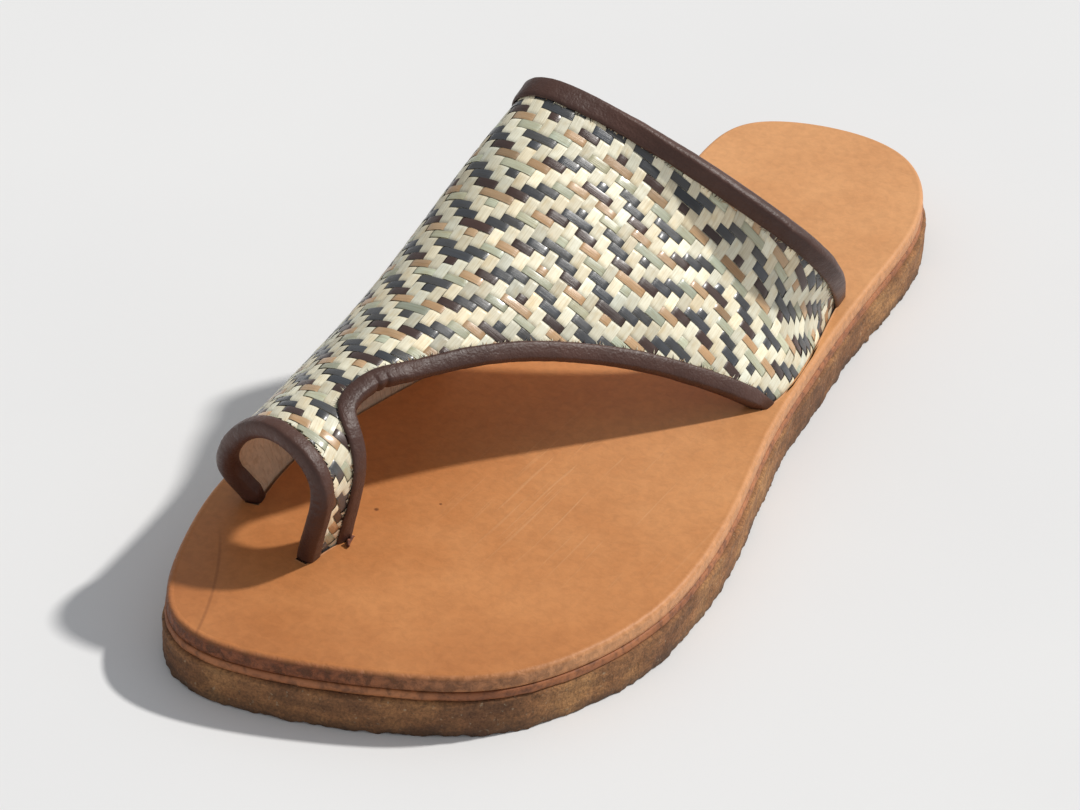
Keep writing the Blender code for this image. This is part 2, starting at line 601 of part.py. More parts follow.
def main():
    for old in list(bpy.data.objects):
        bpy.data.objects.remove(old, do_unlink=True)
    group = bpy.data.collections.new("toe_loop_sandal")
    cutters = bpy.data.collections.new("cutters")
    bpy.context.scene.collection.children.link(group)
    bpy.context.scene.collection.children.link(cutters)

    crepe = material("crepe_rubber", (0.20, 0.095, 0.035), 0.85)
    thin_leather = material("thin_leather", (0.42, 0.16, 0.05), 0.6)
    tan_leather = material("tan_leather", (0.58, 0.27, 0.10), 0.5)
    straw = material("plaited_straw", (0.62, 0.55, 0.38), 0.55)
    dark_leather = material("dark_leather", (0.055, 0.03, 0.025), 0.45)

    outline = sole_outline()
    slab("outsole", crepe_loop(outline), 0, OUTSOLE_T, LAYER_RIM, crepe, group)
    lip = outline + outward(outline) * MIDSOLE_GROW
    slab("midsole", lip, MIDSOLE_Z, MIDSOLE_T, LAYER_RIM, thin_leather, group)
    insole = slab("insole", outline, INSOLE_Z, INSOLE_T, INSOLE_RIM, tan_leather, group)

    form = Form()
    grids = panel_grids(form)
    ring = panel_ring()
    upper(form, grids, ring, straw, group)

    leg, band = grids
    medial = np.r_[leg[:, 1, 0], band[1:, 1, 0]]
    cut_slit(insole, "medial_slit", form, medial, 0.0, cutters)
    cut_slit(insole, "lateral_slit", form, band[:, -2, 0], 1.0, cutters)
    cut_slit(insole, "toe_slit", form, leg[:, -2, 0], 1.0, cutters)

    corner = SHARED_COLUMNS + 1
    throat = np.vstack([band[0, corner:][::-1], leg[-1, corner + 1:]])
    throat_in = np.vstack([band[1, corner:][::-1], leg[-2, corner + 1:]])
    binding("collar_binding", form, band[-1], band[-2], dark_leather, group)
    binding("throat_binding", form, throat, throat_in, dark_leather, group)
    binding("loop_binding", form, leg[0], leg[1], dark_leather, group)

    for made in group.objects:
        made.data.shade_smooth()
        made.data.set_sharp_from_angle(angle=np.radians(35))


main()
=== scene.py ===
import bpy
import numpy as np
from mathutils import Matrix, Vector
from mathutils.geometry import delaunay_2d_cdt
from numpy.linalg import lstsq, norm, solve


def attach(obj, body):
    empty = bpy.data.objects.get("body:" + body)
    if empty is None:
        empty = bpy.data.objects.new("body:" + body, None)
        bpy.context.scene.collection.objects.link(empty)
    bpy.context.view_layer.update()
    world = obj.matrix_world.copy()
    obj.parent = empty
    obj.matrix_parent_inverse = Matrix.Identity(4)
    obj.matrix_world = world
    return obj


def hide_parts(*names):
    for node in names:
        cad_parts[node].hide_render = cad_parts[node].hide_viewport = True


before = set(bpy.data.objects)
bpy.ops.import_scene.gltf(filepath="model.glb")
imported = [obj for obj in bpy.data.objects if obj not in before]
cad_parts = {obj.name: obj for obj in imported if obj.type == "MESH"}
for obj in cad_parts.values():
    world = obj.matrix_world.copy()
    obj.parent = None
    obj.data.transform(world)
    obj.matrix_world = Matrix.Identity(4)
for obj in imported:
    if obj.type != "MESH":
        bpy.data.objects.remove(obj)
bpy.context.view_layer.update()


# Crepe outsole: a slab of natural crepe rubber, cut round the finished sole. Its cut side is rough
# and mottled, with pale specks, and its lower edge is chipped and darker towards the bottom. Shapes
# and lays are in the maker's millimetres, and place() puts a shape in the frame; the floor and
# finishes are in metres.
SOLE_MIDDLE = (2.69, 0.04)
OUTLINE = (  # y, medial edge x, lateral edge x of the insole, from toe to heel
    (-100, -41.5, 39.5),
    (-75, -47.0, 51.0),
    (-50, -44.5, 52.5),
    (-25, -38.5, 48.5),
    (0, -32.0, 42.5),
    (25, -27.5, 38.5),
    (50, -25.0, 35.5),
    (75, -25.0, 33.5),
    (100, -27.2, 29.8),
)
TOE_END = ((19.0, -114.5), (-8.0, -124.3), (-29.5, -121.5))
HEEL_END = ((-22.5, 117.0), (-3.5, 125.0), (17.0, 120.5))
CREPE_TOP = 8.7
CREPE_PROUD = 0.9  # how far the crepe stands out beyond the insole
CREPE_WAVER = 0.25  # height of the slow wander of its cut side
TREAD_INSETS, TOP_INSET = (2.2, 0.7), 1.5  # how far in the flat rings of its two faces lie
SIDE_ROWS, SIDE_POINTS = 22, 1100


def place(points):
    """Millimetres about the maker's own middle to metres in the frame."""
    return (np.asarray(points, float) - (*SOLE_MIDDLE, 0)) * 0.001


def unit(vectors):
    return vectors / norm(vectors, axis=-1, keepdims=True)


def run_length(points):
    """The length of a line as far as each of its points."""
    return np.r_[0, np.cumsum(norm(np.diff(points, axis=0), axis=1))]


def sole_outline(count):
    """Even points round the insole, counter-clockwise seen from above: the closed uniform cubic
    B-spline through the named stations."""
    medial = [(x, y) for y, x, _ in OUTLINE]
    lateral = [(x, y) for y, _, x in OUTLINE]
    points = np.array([*lateral[::-1], *TOE_END, *medial, *HEEL_END], float)
    size = len(points)
    weights = np.eye(size) * 4 + np.roll(np.eye(size), 1, 0) + np.roll(np.eye(size), -1, 0)
    guides = solve(weights / 6, points)
    whole = np.arange(0, size, 0.01)
    i, f = whole.astype(int), (whole % 1)[:, None]
    around = [guides[(i + k) % size] for k in (-1, 0, 1, 2)]
    curve = (around[0] * (1 - f) ** 3 + around[1] * (3 * f ** 3 - 6 * f ** 2 + 4)
             + around[2] * (-3 * f ** 3 + 3 * f ** 2 + 3 * f + 1) + around[3] * f ** 3) / 6
    closed = np.vstack([curve, curve[:1]])
    length = run_length(closed)
    at = np.linspace(0, length[-1], count, endpoint=False)
    return np.stack([np.interp(at, length, closed[:, k]) for k in (0, 1)], 1)[::-1]


def outward(loop):
    """Unit normals of a closed counter-clockwise outline, pointing away from its inside."""
    along = unit(np.roll(loop, -1, 0) - np.roll(loop, 1, 0))
    return np.stack([along[:, 1], -along[:, 0]], 1)


def between(table, i, after, j, fa, fb):
    """A table read at the share fa from row i to row after, and fb from column j to the next."""
    near = table[i, j] * (1 - fb) + table[i, j + 1] * fb
    far = table[after, j] * (1 - fb) + table[after, j + 1] * fb
    return near * (1 - fa) + far * fa


def eased(x):
    return x * x * (3 - 2 * x)


def ripple(u, v, cells_u, cells_v, seed):
    """Smooth noise between -1 and 1: seeded values at the corners of cells_u by cells_v cells,
    eased between them, and closing on itself along u."""
    table = np.random.default_rng(seed).uniform(-1, 1, (cells_u, cells_v + 2))
    a, b = (u % 1) * cells_u, np.clip(v, 0, 1) * cells_v
    i, j = a.astype(int) % cells_u, b.astype(int)
    return between(table, i, (i + 1) % cells_u, j, eased(a % 1), eased(b % 1))


def waver(u, cells, seed):
    """Smooth noise along a line: a ripple that is the same all the way across."""
    return ripple(u, 0 * u, cells, 1, seed)


def grid(table):
    """The four corners of each cell of a table: of point numbers, its quads."""
    low, high = table[..., :-1, :], table[..., 1:, :]
    return np.stack([low[..., :-1], low[..., 1:], high[..., 1:], high[..., :-1]], -1)


def tube(rows, size):
    """Faces of a closed run of rings: quads from ring to ring, and a cap on the first and last."""
    index = np.arange(rows * size).reshape(rows, size)
    sides = grid(np.c_[index, index[:, :1]]).reshape(-1, 4)
    return sides.tolist() + [index[0][::-1].tolist(), index[-1].tolist()]


def stacked(loop, push, height):
    """Closed slab: ring r is the loop moved outward by push[r] at height[r], from the lower face
    round the side to the upper face."""
    rows, size = len(push), len(loop)
    points = np.empty((rows, size, 3))
    points[..., :2] = loop + outward(loop) * np.broadcast_to(push, (rows, size))[..., None]
    points[..., 2] = height
    return points.reshape(-1, 3), tube(rows, size)


def stand(name, data):
    """A new object in the scene."""
    made = bpy.data.objects.new(name, data)
    bpy.context.scene.collection.objects.link(made)
    return made


def put(name, points, faces, material, slot, stands_for=(), **values):
    """A mesh piece from points in millimetres, riding on the sandal, with any point values."""
    mesh = bpy.data.meshes.new(name)
    mesh.from_pydata(place(points).tolist(), [], faces if isinstance(faces, list) else faces.tolist())
    mesh.shade_smooth()
    for title, data in values.items():
        data = np.asarray(data, "f")
        kind, key = ("FLOAT", "value") if data.ndim == 1 else ("FLOAT_VECTOR", "vector")
        mesh.attributes.new(title, kind, "POINT").data.foreach_set(key, data.ravel())
    mesh.materials.append(material)
    made = stand(name, mesh)
    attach(made, "root")
    if stands_for:
        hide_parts(*stands_for)


def node(near, kind, inputs=None, **settings):
    """A shader node beside a socket; each input takes a value or the socket it is linked from."""
    tree = near.id_data
    made = tree.nodes.new("ShaderNode" + kind)
    for key, value in settings.items():
        setattr(made, key, value)
    for key, value in (inputs or {}).items():
        if isinstance(value, bpy.types.NodeSocket):
            tree.links.new(value, made.inputs[key])
        else:
            made.inputs[key].default_value = value
    return made


def noise(where, scale, detail=3.0, **more):
    """Noise over a place, its scale as cells for each unit of the place."""
    inputs = {"Vector": where, "Scale": scale, "Detail": detail, **more}
    return node(where, "TexNoise", inputs).outputs["Fac"]


def stretched(where, *scale):
    """A place with each axis scaled by its own number."""
    return node(where, "VectorMath", {0: where, 1: scale}, operation="MULTIPLY").outputs[0]


def spread(value, low, high, first=0.0, last=1.0):
    """A value between low and high carried to between first and last, and kept there."""
    ends = {"From Min": low, "From Max": high, "To Min": first, "To Max": last}
    return node(value, "MapRange", {"Value": value, **ends}).outputs["Result"]


def reckon(kind, *values):
    """One step of arithmetic on a socket and further numbers or sockets."""
    return node(values[0], "Math", dict(enumerate(values)), operation=kind).outputs[0]


def ramp(factor, *stops):
    """Colours along a factor; each stop is a place and its colour or grey."""
    made = node(factor, "ValToRGB", {"Fac": factor})
    steps = made.color_ramp.elements
    while len(steps) < len(stops):
        steps.new(0.5)
    for step, (at, colour) in zip(steps, stops):
        step.position = at
        step.color = (*colour, 1) if isinstance(colour, tuple) else (colour, colour, colour, 1)
    return made.outputs["Color"]


def blend(factor, first, second, kind="MIX"):
    """A colour mixed with a second one; factor and second are each a value or a socket."""
    second = (*second, 1) if isinstance(second, tuple) else second
    inputs = {0: factor, 6: first, 7: second}
    return node(first, "Mix", inputs, data_type="RGBA", blend_type=kind).outputs[2]


def tinted(first, second, share=1.0):
    """A colour multiplied by another."""
    return blend(share, first, second, "MULTIPLY")


def relief(height, strength, distance, under=None):
    """A bump of a height field, on top of another bump's normal."""
    inputs = {"Height": height, "Strength": strength, "Distance": distance}
    if under is not None:
        inputs["Normal"] = under
    return node(height, "Bump", inputs).outputs["Normal"]


def finish(name, roughness, **constants):
    """A new material with its shader's constants set, and the object's coordinates."""
    made = bpy.data.materials.new(name)
    made.use_nodes = True
    shader = made.node_tree.nodes["Principled BSDF"]
    for key, value in {"Roughness": roughness, **constants}.items():
        shader.inputs[key.replace("_", " ")].default_value = value
    return made, made.node_tree.nodes.new("ShaderNodeTexCoord").outputs["Object"]


def dressed(made, **sockets):
    """The material with what varies over it linked to its shader."""
    shader = made.node_tree.nodes["Principled BSDF"]
    for key, socket in sockets.items():
        made.node_tree.links.new(socket, shader.inputs[key.replace("_", " ")])
    return made


def crepe_side():
    """The crepe's rings: its side stands CREPE_PROUD out, wanders slowly, and is cut rough; the
    lowest rows are chipped, and round under to the flat tread."""
    loop = sole_outline(SIDE_POINTS)
    u = np.linspace(0, 1, len(loop), endpoint=False)[None, :]
    v = np.linspace(0, 1, SIDE_ROWS)[:, None]
    turn = -2 * np.pi * u
    wander = CREPE_WAVER * (np.sin(5 * turn + 1) + 0.7 * np.sin(11 * turn) + 0.5 * np.sin(17 * turn + 2))
    rough = (0.2 * ripple(u, v, 120, 2, 1) + 0.09 * ripple(u, v, 420, 8, 2)
             + 0.05 * ripple(u, v, 1000, 16, 3))
    low = np.clip(1 - v / 0.2, 0, 1)
    chips = low * (0.18 * waver(u, 260, 4) + 0.17 * ripple(u, v, 640, 6, 5) - 0.15)
    ease = 0.5 * np.clip((v - 0.96) / 0.04, 0, 1)
    side = CREPE_PROUD + wander + rough + chips - ease
    lift = 0.25 + 0.25 * waver(u, 500, 6)
    height = CREPE_TOP * v + lift * np.clip(1 - v / 0.15, 0, 1)
    push = np.vstack([*(side[:1] - inset for inset in TREAD_INSETS), side, side[-1:] - TOP_INSET])
    return stacked(loop, push, np.vstack([0 * u, 0 * u, height, 0 * u + CREPE_TOP]))


def crepe_rubber():
    made, where = finish("crepe_rubber_cut", 0.82)
    lumps = noise(where, 620.0, 5.0, Roughness=0.7)
    grain = noise(where, 1700.0, 3.0, Roughness=0.7)
    flow = noise(stretched(where, 1, 1, 3.5), 160.0, 4.0)
    shade = ramp(noise(where, 70.0, 4.0), (0.34, (0.165, 0.07, 0.028)),
                 (0.5, (0.275, 0.124, 0.047)), (0.68, (0.4, 0.2, 0.076)))
    for share, factor, *stops in ((0.85, flow, (0.35, 0.72), (0.62, 1.15)),
                                  (0.8, lumps, (0.3, 0.55), (0.45, 1.0)),
                                  (1.0, grain, (0.34, 0.62), (0.66, 1.35))):
        shade = tinted(shade, ramp(factor, *stops), share)
    specks = ramp(noise(where, 900.0, 2.0), (0.66, 0.0), (0.74, 0.4))
    shade = blend(specks, shade, (0.5, 0.4, 0.26))
    # darker towards the bottom: the lowest few millimetres of the cut side are mixed towards near black
    level = node(where, "SeparateXYZ", {0: where}).outputs["Z"]
    uneven = reckon("MULTIPLY_ADD", noise(where, 260.0), -0.0045, level)
    low_darkening = spread(uneven, -0.0028, 0.0012, 0.8, 0.0)
    coarse = relief(flow, 0.6, 0.0006)
    medium = relief(lumps, 0.6, 0.0005, coarse)
    return dressed(made, Base_Color=blend(low_darkening, shade, (0.04, 0.026, 0.018)),
                   Normal=relief(grain, 0.5, 0.0002, medium))


put("crepe_outsole", *crepe_side(), crepe_rubber(), "crepe_rubber", ["outsole"])


# Midsole: a thin leather slip cemented between the crepe and the insole. Only its cut lip shows,
# as a thin reddish line that stands a little proud.
MIDSOLE_Z = (8.74, 10.66)
MIDSOLE_PROUD = 0.4
LIP_ROUND = 0.45  # how far the lip bulges
RIM_POINTS = 700


def group(effect, inputs, outputs):
    """A node group that finishes share: the effect makes its outputs, in order, from its inputs."""
    made = bpy.data.node_groups.new(effect.__name__, "ShaderNodeTree")
    for way, sockets in (("INPUT", inputs), ("OUTPUT", outputs)):
        for title, kind in sockets.items():
            made.interface.new_socket(title, in_out=way, socket_type="NodeSocket" + kind)
    start, end = made.nodes.new("NodeGroupInput"), made.nodes.new("NodeGroupOutput")
    for title, socket in zip(outputs, effect(*start.outputs[:len(inputs)])):
        made.links.new(socket, end.inputs[title])
    return made


def leather_grain(place, scale):
    """Fine pores, hair-fine creases and slow blotches of vegetable-tanned hide."""
    where = node(place, "VectorMath", {0: place, "Scale": scale}, operation="SCALE").outputs[0]
    cells = node(where, "TexVoronoi", {"Vector": where, "Scale": 1400.0}, feature="SMOOTH_F1")
    return (cells.outputs["Distance"], noise(where, 520.0, 6.0, Roughness=0.62, Distortion=0.4),
            noise(where, 34.0, 4.0, Roughness=0.6))


GRAIN = group(leather_grain, {"Place": "Vector", "Scale": "Float"},
              {"Pores": "Float", "Creases": "Float", "Blotches": "Float"})


def grained(where, scale):
    """The leather grain's pores, creases and blotches at a place."""
    return node(where, "Group", {"Place": where, "Scale": scale}, node_tree=GRAIN).outputs[:3]


def thin_leather():
    made, where = finish("thin_leather_lip", 0.62)
    _, creases, blotches = grained(where, 1.0)
    base = ramp(blotches, (0.35, (0.27, 0.085, 0.03)), (0.65, (0.46, 0.175, 0.065)))
    dark = ramp(creases, (0.36, 0.45), (0.55, 1.0))
    return dressed(made, Base_Color=tinted(base, dark, 0.9), Normal=relief(creases, 0.6, 0.0003))


loop = sole_outline(RIM_POINTS)
swing = np.linspace(-np.pi / 2, np.pi / 2, 9)[:, None]
u = np.linspace(0, 1, len(loop), endpoint=False)[None, :]
lip = MIDSOLE_PROUD - LIP_ROUND + LIP_ROUND * np.cos(swing) + 0.09 * waver(u, 220, 11)
level = np.mean(MIDSOLE_Z) + (MIDSOLE_Z[1] - MIDSOLE_Z[0]) / 2 * np.sin(swing) + 0 * u
put("midsole_lip", *stacked(loop, lip, level), thin_leather(), "thin_leather", ["midsole"])


# Insole: thick vegetable-tanned leather, cut to shape, its rim rounded and burnished. Three slits
# near its edges take the straw panel's feet. Its marks are scratches at the ball, two dark specks
# and a pressed arc at the toe.
INSOLE_LOW, INSOLE_TOP = 10.7, 14.5
RIM = 1.1
RIM_ROWS = (11.8, 12.8)  # heights of two plain rings of its side
SECTIONS = (  # foot_y, foot_x, side_x, side_h, top_x, top_h, out_x, out_h, end_x, skew, lean
    (-83.5, -37.0, -44.5, 9.0, -29.5, 34.0, -5.5, 22.0, -15.5, -11.5, -5.5),
    (-67.5, -41.0, -45.5, 15.0, -25.0, 33.0, -9.0, 26.0, -14.0, -6.0, 0.5),
    (-46.5, -39.0, -42.5, 23.0, -21.0, 37.5, -5.5, 32.0, 7.5, 2.5, -1.0),
    (-23.5, -33.5, -40.5, 34.0, -21.0, 45.5, 1.0, 36.0, 33.0, 13.0, -5.0),
    (2.5, -27.5, -38.0, 47.0, -20.0, 59.0, 13.5, 35.0, 40.5, 17.5, -12.0),
    (26.0, -23.0, -35.5, 53.0, -19.5, 66.5, 31.0, 17.0, 32.5, 17.0, -21.0),
    (44.5, -21.5, -34.5, 49.5, -27.0, 66.5, 49.5, 31.0, 30.0, 15.0, -37.0),
)
NOTCH_T = 0.637
NOTCH = (  # share of the way out, leg's edge, throat's edge
    (0.00, 0.098, 0.098),
    (0.15, 0.08, 0.12),
    (0.35, 0.0705, 0.154),
    (0.55, 0.0655, 0.228),
    (0.7, 0.063, 0.343),
    (0.85, 0.0605, 0.497),
    (1.00, 0.0565, 0.652),
)
FREE_EDGE = 0.01  # the loop's and collar's cut edges, as a share of the form's length
LENGTH, GIRTH = 110.0, 150.0
WALL_T = 1.9
SLIT_CLEAR, SLIT_END, SLIT_DEPTH = 0.35, 1.2, 3.3
BALL = (0.018, -0.04, 0.0145)  # middle of the scratches
SPECKS = (((-0.0159, -0.0699, 0.0145), 0.0003), ((-0.0057, -0.0609, 0.0145), 0.0002))
ARC_MIDDLE, ARC_RADIUS = (-0.125, -0.157, 0.0145), 0.1066


def basis(x, count):
    """Weights at x (0 to 1) of a clamped cubic B-spline drawn towards count guides."""
    knots = np.r_[np.zeros(3), np.linspace(0, 1, count - 2), np.ones(3)]
    x = np.clip(np.asarray(x, float), 0, 1 - 1e-9)
    level = [((x >= a) & (x < b)).astype(float) for a, b in zip(knots[:-1], knots[1:])]
    for d in range(1, 4):
        higher = []
        for i in range(len(level) - 1):
            rise, fall = knots[i + d] - knots[i], knots[i + d + 1] - knots[i + 1]
            up = level[i] * (x - knots[i]) / rise if rise else 0 * x
            down = level[i + 1] * (knots[i + d + 1] - x) / fall if fall else 0 * x
            higher.append(up + down)
        level = higher
    return np.stack(level, -1)


def form_tables(size=161):
    """The form's places and its rates of change along s and t: a cubic surface drawn towards
    seven guides in each section, from the medial foot over the crown to the lateral foot."""
    foot_y, foot_x, side_x, side_h, top_x, top_h, out_x, out_h, end_x, skew, lean = (
        np.array(SECTIONS, float).T)

    def guide(x, across, height, forward):
        return np.stack([x, foot_y + skew * across + lean * forward, INSOLE_TOP + height], -1)

    level = 0 * foot_y
    guides = np.stack([
        guide(foot_x, 0, level, 0),
        guide(foot_x + (side_x - foot_x) * 0.3, 0, side_h * 0.45, 0.35),
        guide(side_x, 0.15, side_h, 0.8),
        guide(top_x, 0.4, top_h, 1),
        guide(out_x, 0.8, out_h, 0.8),
        guide(end_x + (out_x - end_x) * 0.3, 1, out_h * 0.45, 0.35),
        guide(end_x, 1, level, 0)], 1)
    step = np.linspace(0, 1, size)
    weights = basis(step, 7)
    places = np.einsum("si,tj,ijk->stk", weights, weights, guides)
    return (places, np.gradient(places, step, axis=0, edge_order=2),
            np.gradient(places, step, axis=1, edge_order=2))


FORM = form_tables()


def on_form(s, t):
    """Places on the form and its two directions, read between the tables' entries. Past the feet
    it drops straight down, past its ends it carries straight on."""
    s, t = np.broadcast_arrays(np.asarray(s, float), np.asarray(t, float))
    size = len(FORM[0])
    inner_s, inner_t = np.clip(s, 0, 1), np.clip(t, 0, 1)
    a, b = inner_s * (size - 1), inner_t * (size - 1)
    i, j = np.minimum(a.astype(int), size - 2), np.minimum(b.astype(int), size - 2)
    fa, fb = (a - i)[..., None], (b - j)[..., None]
    places, along, across = [between(table, i, i + 1, j, fa, fb) for table in FORM]
    drop = np.stack([0 * t, 0 * t, np.where(t < 0, GIRTH, -GIRTH)], -1)
    across = np.where(((t < 0) | (t > 1))[..., None], drop, across)
    return (places + (s - inner_s)[..., None] * along + (t - inner_t)[..., None] * across, along, across)


def raised(s, t, height):
    """Places a height above the form, or below it where the height is negative."""
    places, along, across = on_form(s, t)
    height = np.broadcast_to(height, places.shape[:-1])
    return places + unit(np.cross(across, along)) * height[..., None]


def notch_edges(shares):
    """The leg's edge, the throat's edge and t, at shares of the way out from the notch."""
    rows = np.array(NOTCH)
    guides = solve(basis(rows[:, 0], len(rows)), rows[:, 1:])
    leg, throat = (basis(shares, len(rows)) @ guides).T
    return leg, throat, NOTCH_T + (1 - NOTCH_T) * np.asarray(shares) ** 2


def slit(first, last, t, count=110):
    """Outline of the slit that one foot goes into, between two places s along the form."""
    s = np.linspace(first, last, count)
    at, along, across = on_form(s, np.full(count, t))
    away = unit(np.cross(across, along))[:, :2]
    level = norm(away, axis=1, keepdims=True)
    away, at = away / level, at[:, :2].copy()
    way = unit(np.gradient(at, axis=0))
    at[0] -= way[0] * SLIT_END
    at[-1] += way[-1] * SLIT_END
    loop = np.vstack([at + away * SLIT_CLEAR, (at - away * (WALL_T / level + SLIT_CLEAR))[::-1]])
    x, y = loop.T
    turns = (x * np.roll(y, -1) - np.roll(x, -1) * y).sum()
    return loop if turns > 0 else loop[::-1]


def inside(points, ring):
    """Which points lie inside a closed polygon, by counting its edges to one side."""
    hits = np.zeros(len(points), int)
    for p, q in zip(ring, np.roll(ring, -1, 0)):
        over = (p[1] > points[:, 1]) != (q[1] > points[:, 1])
        rise = q[1] - p[1] if q[1] != p[1] else 1.0
        hits += over & (points[:, 0] < p[0] + (points[:, 1] - p[1]) * (q[0] - p[0]) / rise)
    return hits % 2 == 1


def insole_mesh():
    """Rounded rim, flat top cut by the slits, and a pocket below each slit; every point carries
    how near it is to a cut edge, for the burnishing."""
    loop = sole_outline(RIM_POINTS)
    size = len(loop)
    turn = np.linspace(0, np.pi / 2, 7)
    push = np.r_[-0.5, 0, 0, 0, RIM * (np.cos(turn) - 1), -1.6]
    height = np.r_[INSOLE_LOW, INSOLE_LOW + 0.3, RIM_ROWS, INSOLE_TOP - RIM + RIM * np.sin(turn),
                   INSOLE_TOP]
    edge = np.r_[1, 1, 1, 1, 1 - turn * 0.45, 0]
    points, faces = stacked(loop, push[:, None], height[:, None])
    leg, throat, _ = notch_edges([1.0])
    slits = [slit(FREE_EDGE, 1 - FREE_EDGE, 0.0), slit(throat[0], 1 - FREE_EDGE, 1.0),
             slit(FREE_EDGE, leg[0], 1.0)]
    rim = loop + outward(loop) * push[-1]
    lips = [hole + outward(hole) * 0.15 for hole in slits]
    rings = [rim, *lips, *(hole + outward(hole) * 0.5 for hole in slits)]
    x, y = np.meshgrid(np.arange(-45, 52, 5.0), np.arange(-121, 123, 5.0))
    fill = np.c_[x.ravel(), y.ravel()]
    clear = inside(fill, loop + outward(loop) * -4)
    for hole in slits:
        clear &= ~inside(fill, hole + outward(hole) * 2)
    flat = np.vstack([*rings, fill[clear]])
    starts = np.cumsum([0, *map(len, rings)])
    links = [(int(a + k), int(a + (k + 1) % len(ring)))
             for a, ring in zip(starts, rings) for k in range(len(ring))]
    made, _, triangles, _, _, _ = delaunay_2d_cdt([tuple(p) for p in flat], links, [], 1, 1e-5)
    made, triangles = np.array(made), np.array(triangles)
    keep = np.ones(len(triangles), bool)
    for lip in lips:
        keep &= ~inside(made[triangles].mean(1), lip)
    first = len(points) - size
    values = np.r_[np.repeat(edge, size), np.full(sum(map(len, lips)), 0.75)]
    values = np.r_[values, np.zeros(first + len(made) - len(values))]
    faces = faces[:-1] + (triangles[keep] + first).tolist()
    points = np.vstack([points, np.c_[made[size:], np.full(len(made) - size, INSOLE_TOP)]])
    for a, hole in zip(starts[1:4], slits):
        count = len(hole)
        ring = first + a + np.arange(count)
        wall = len(points) + np.arange(3 * count).reshape(3, count)
        for deep in (0.22, SLIT_DEPTH * 0.5, SLIT_DEPTH):
            points = np.vstack([points, np.c_[hole, np.full(count, INSOLE_TOP - deep)]])
        stack = np.vstack([ring, wall])
        sides = grid(np.c_[stack, stack[:, :1]])[..., [0, 3, 2, 1]].reshape(-1, 4)
        faces += sides.tolist() + [wall[-1].tolist()]
        values = np.r_[values, np.ones(3 * count)]
    return points, faces, values


def distance(where, spot):
    return node(where, "VectorMath", {0: where, 1: spot}, operation="DISTANCE").outputs["Value"]


def tan_leather():
    """Paler towards the heel and darker and redder towards the toe, partly from wear and partly as
    painted shade; clouded and creased, with its marks; dark and torn at the rim of the toe, that dark
    partly painted shade, smoother and paler round the rest of the rim."""
    made, where = finish("tan_insole_leather", 0.5, Specular_IOR_Level=0.35)
    pores, creases, blotches = grained(where, 1.0)
    level = node(where, "SeparateXYZ", {0: where}).outputs["Y"]
    # darker and redder towards the toe, partly wear and oil and partly painted shade; paler towards the
    # heel
    wear_and_shade_to_heel = spread(reckon("MULTIPLY_ADD", blotches, 0.07, level), -0.115, 0.13)
    face = ramp(wear_and_shade_to_heel, (0.0, (0.42, 0.148, 0.045)), (0.3, (0.59, 0.24, 0.082)), (1.0, (0.75, 0.37, 0.158)))
    cloud = ramp(blotches, (0.3, (0.92, 0.88, 0.84)), (0.7, (1.05, 1.08, 1.1)))
    for shade in (cloud, ramp(creases, (0.33, 0.91), (0.62, 1.04))):
        face = tinted(face, shade)
    spin = node(where, "Mapping", {"Vector": where, "Rotation": (0, 0, np.radians(14)),
                                   "Scale": (1000, 26, 1)})
    lines = ramp(noise(spin.outputs[0], 1.0, 1.0, Distortion=0.8), (0.66, 0.0), (0.7, 1.0))
    near_ball = spread(distance(where, BALL), 0.012, 0.04, 1.0, 0.0)
    scratch = reckon("MULTIPLY", lines, near_ball)
    face = blend(reckon("MULTIPLY", scratch, 0.22), face, (0.8, 0.47, 0.24))
    for speck, size in SPECKS:
        dark = spread(distance(where, speck), size, size * 2.2, 0.75, 0.0)
        face = blend(dark, face, (0.11, 0.036, 0.015))
    off = reckon("SUBTRACT", distance(where, ARC_MIDDLE), ARC_RADIUS)
    press = spread(reckon("ABSOLUTE", off), 0.0001, 0.0005, 0.35, 0.0)
    line = reckon("MULTIPLY", press, spread(level, -0.1, -0.092, 1.0, 0.0))
    face = blend(line, face, (0.16, 0.055, 0.022))
    edge = node(where, "Attribute", attribute_name="edge").outputs["Fac"]
    ragged = reckon("MULTIPLY_ADD", creases, 0.9, -0.45)
    burnish = ramp(reckon("ADD", edge, ragged), (0.3, 0.0), (0.95, 1.0))
    # the rim is dark at the toe partly as torn rough leather and partly as painted shade, paler round the
    # rest
    toe = spread(level, -0.12, -0.085)
    rim = ramp(toe, (0.0, (0.195, 0.062, 0.024)), (1.0, (0.6, 0.285, 0.125)))
    torn = spread(toe, 0.0, 1.0, 0.95, 0.3)
    rough = tinted(rim, ramp(creases, (0.38, 0.42), (0.6, 1.45)), torn)
    depth = reckon("MULTIPLY", reckon("MULTIPLY", torn, edge), creases)
    over = relief(creases, 0.22, 0.00025, relief(pores, 0.12, 0.00012))
    return dressed(made, Base_Color=blend(burnish, face, rough),
                   Roughness=spread(blotches, 0.3, 0.7, 0.42, 0.58),
                   Normal=relief(scratch, 0.35, 0.0001, relief(depth, 0.9, 0.0011, over)))


points, faces, near = insole_mesh()
put("tan_insole", points, faces, tan_leather(), "tan_leather", ["insole"], edge=near)


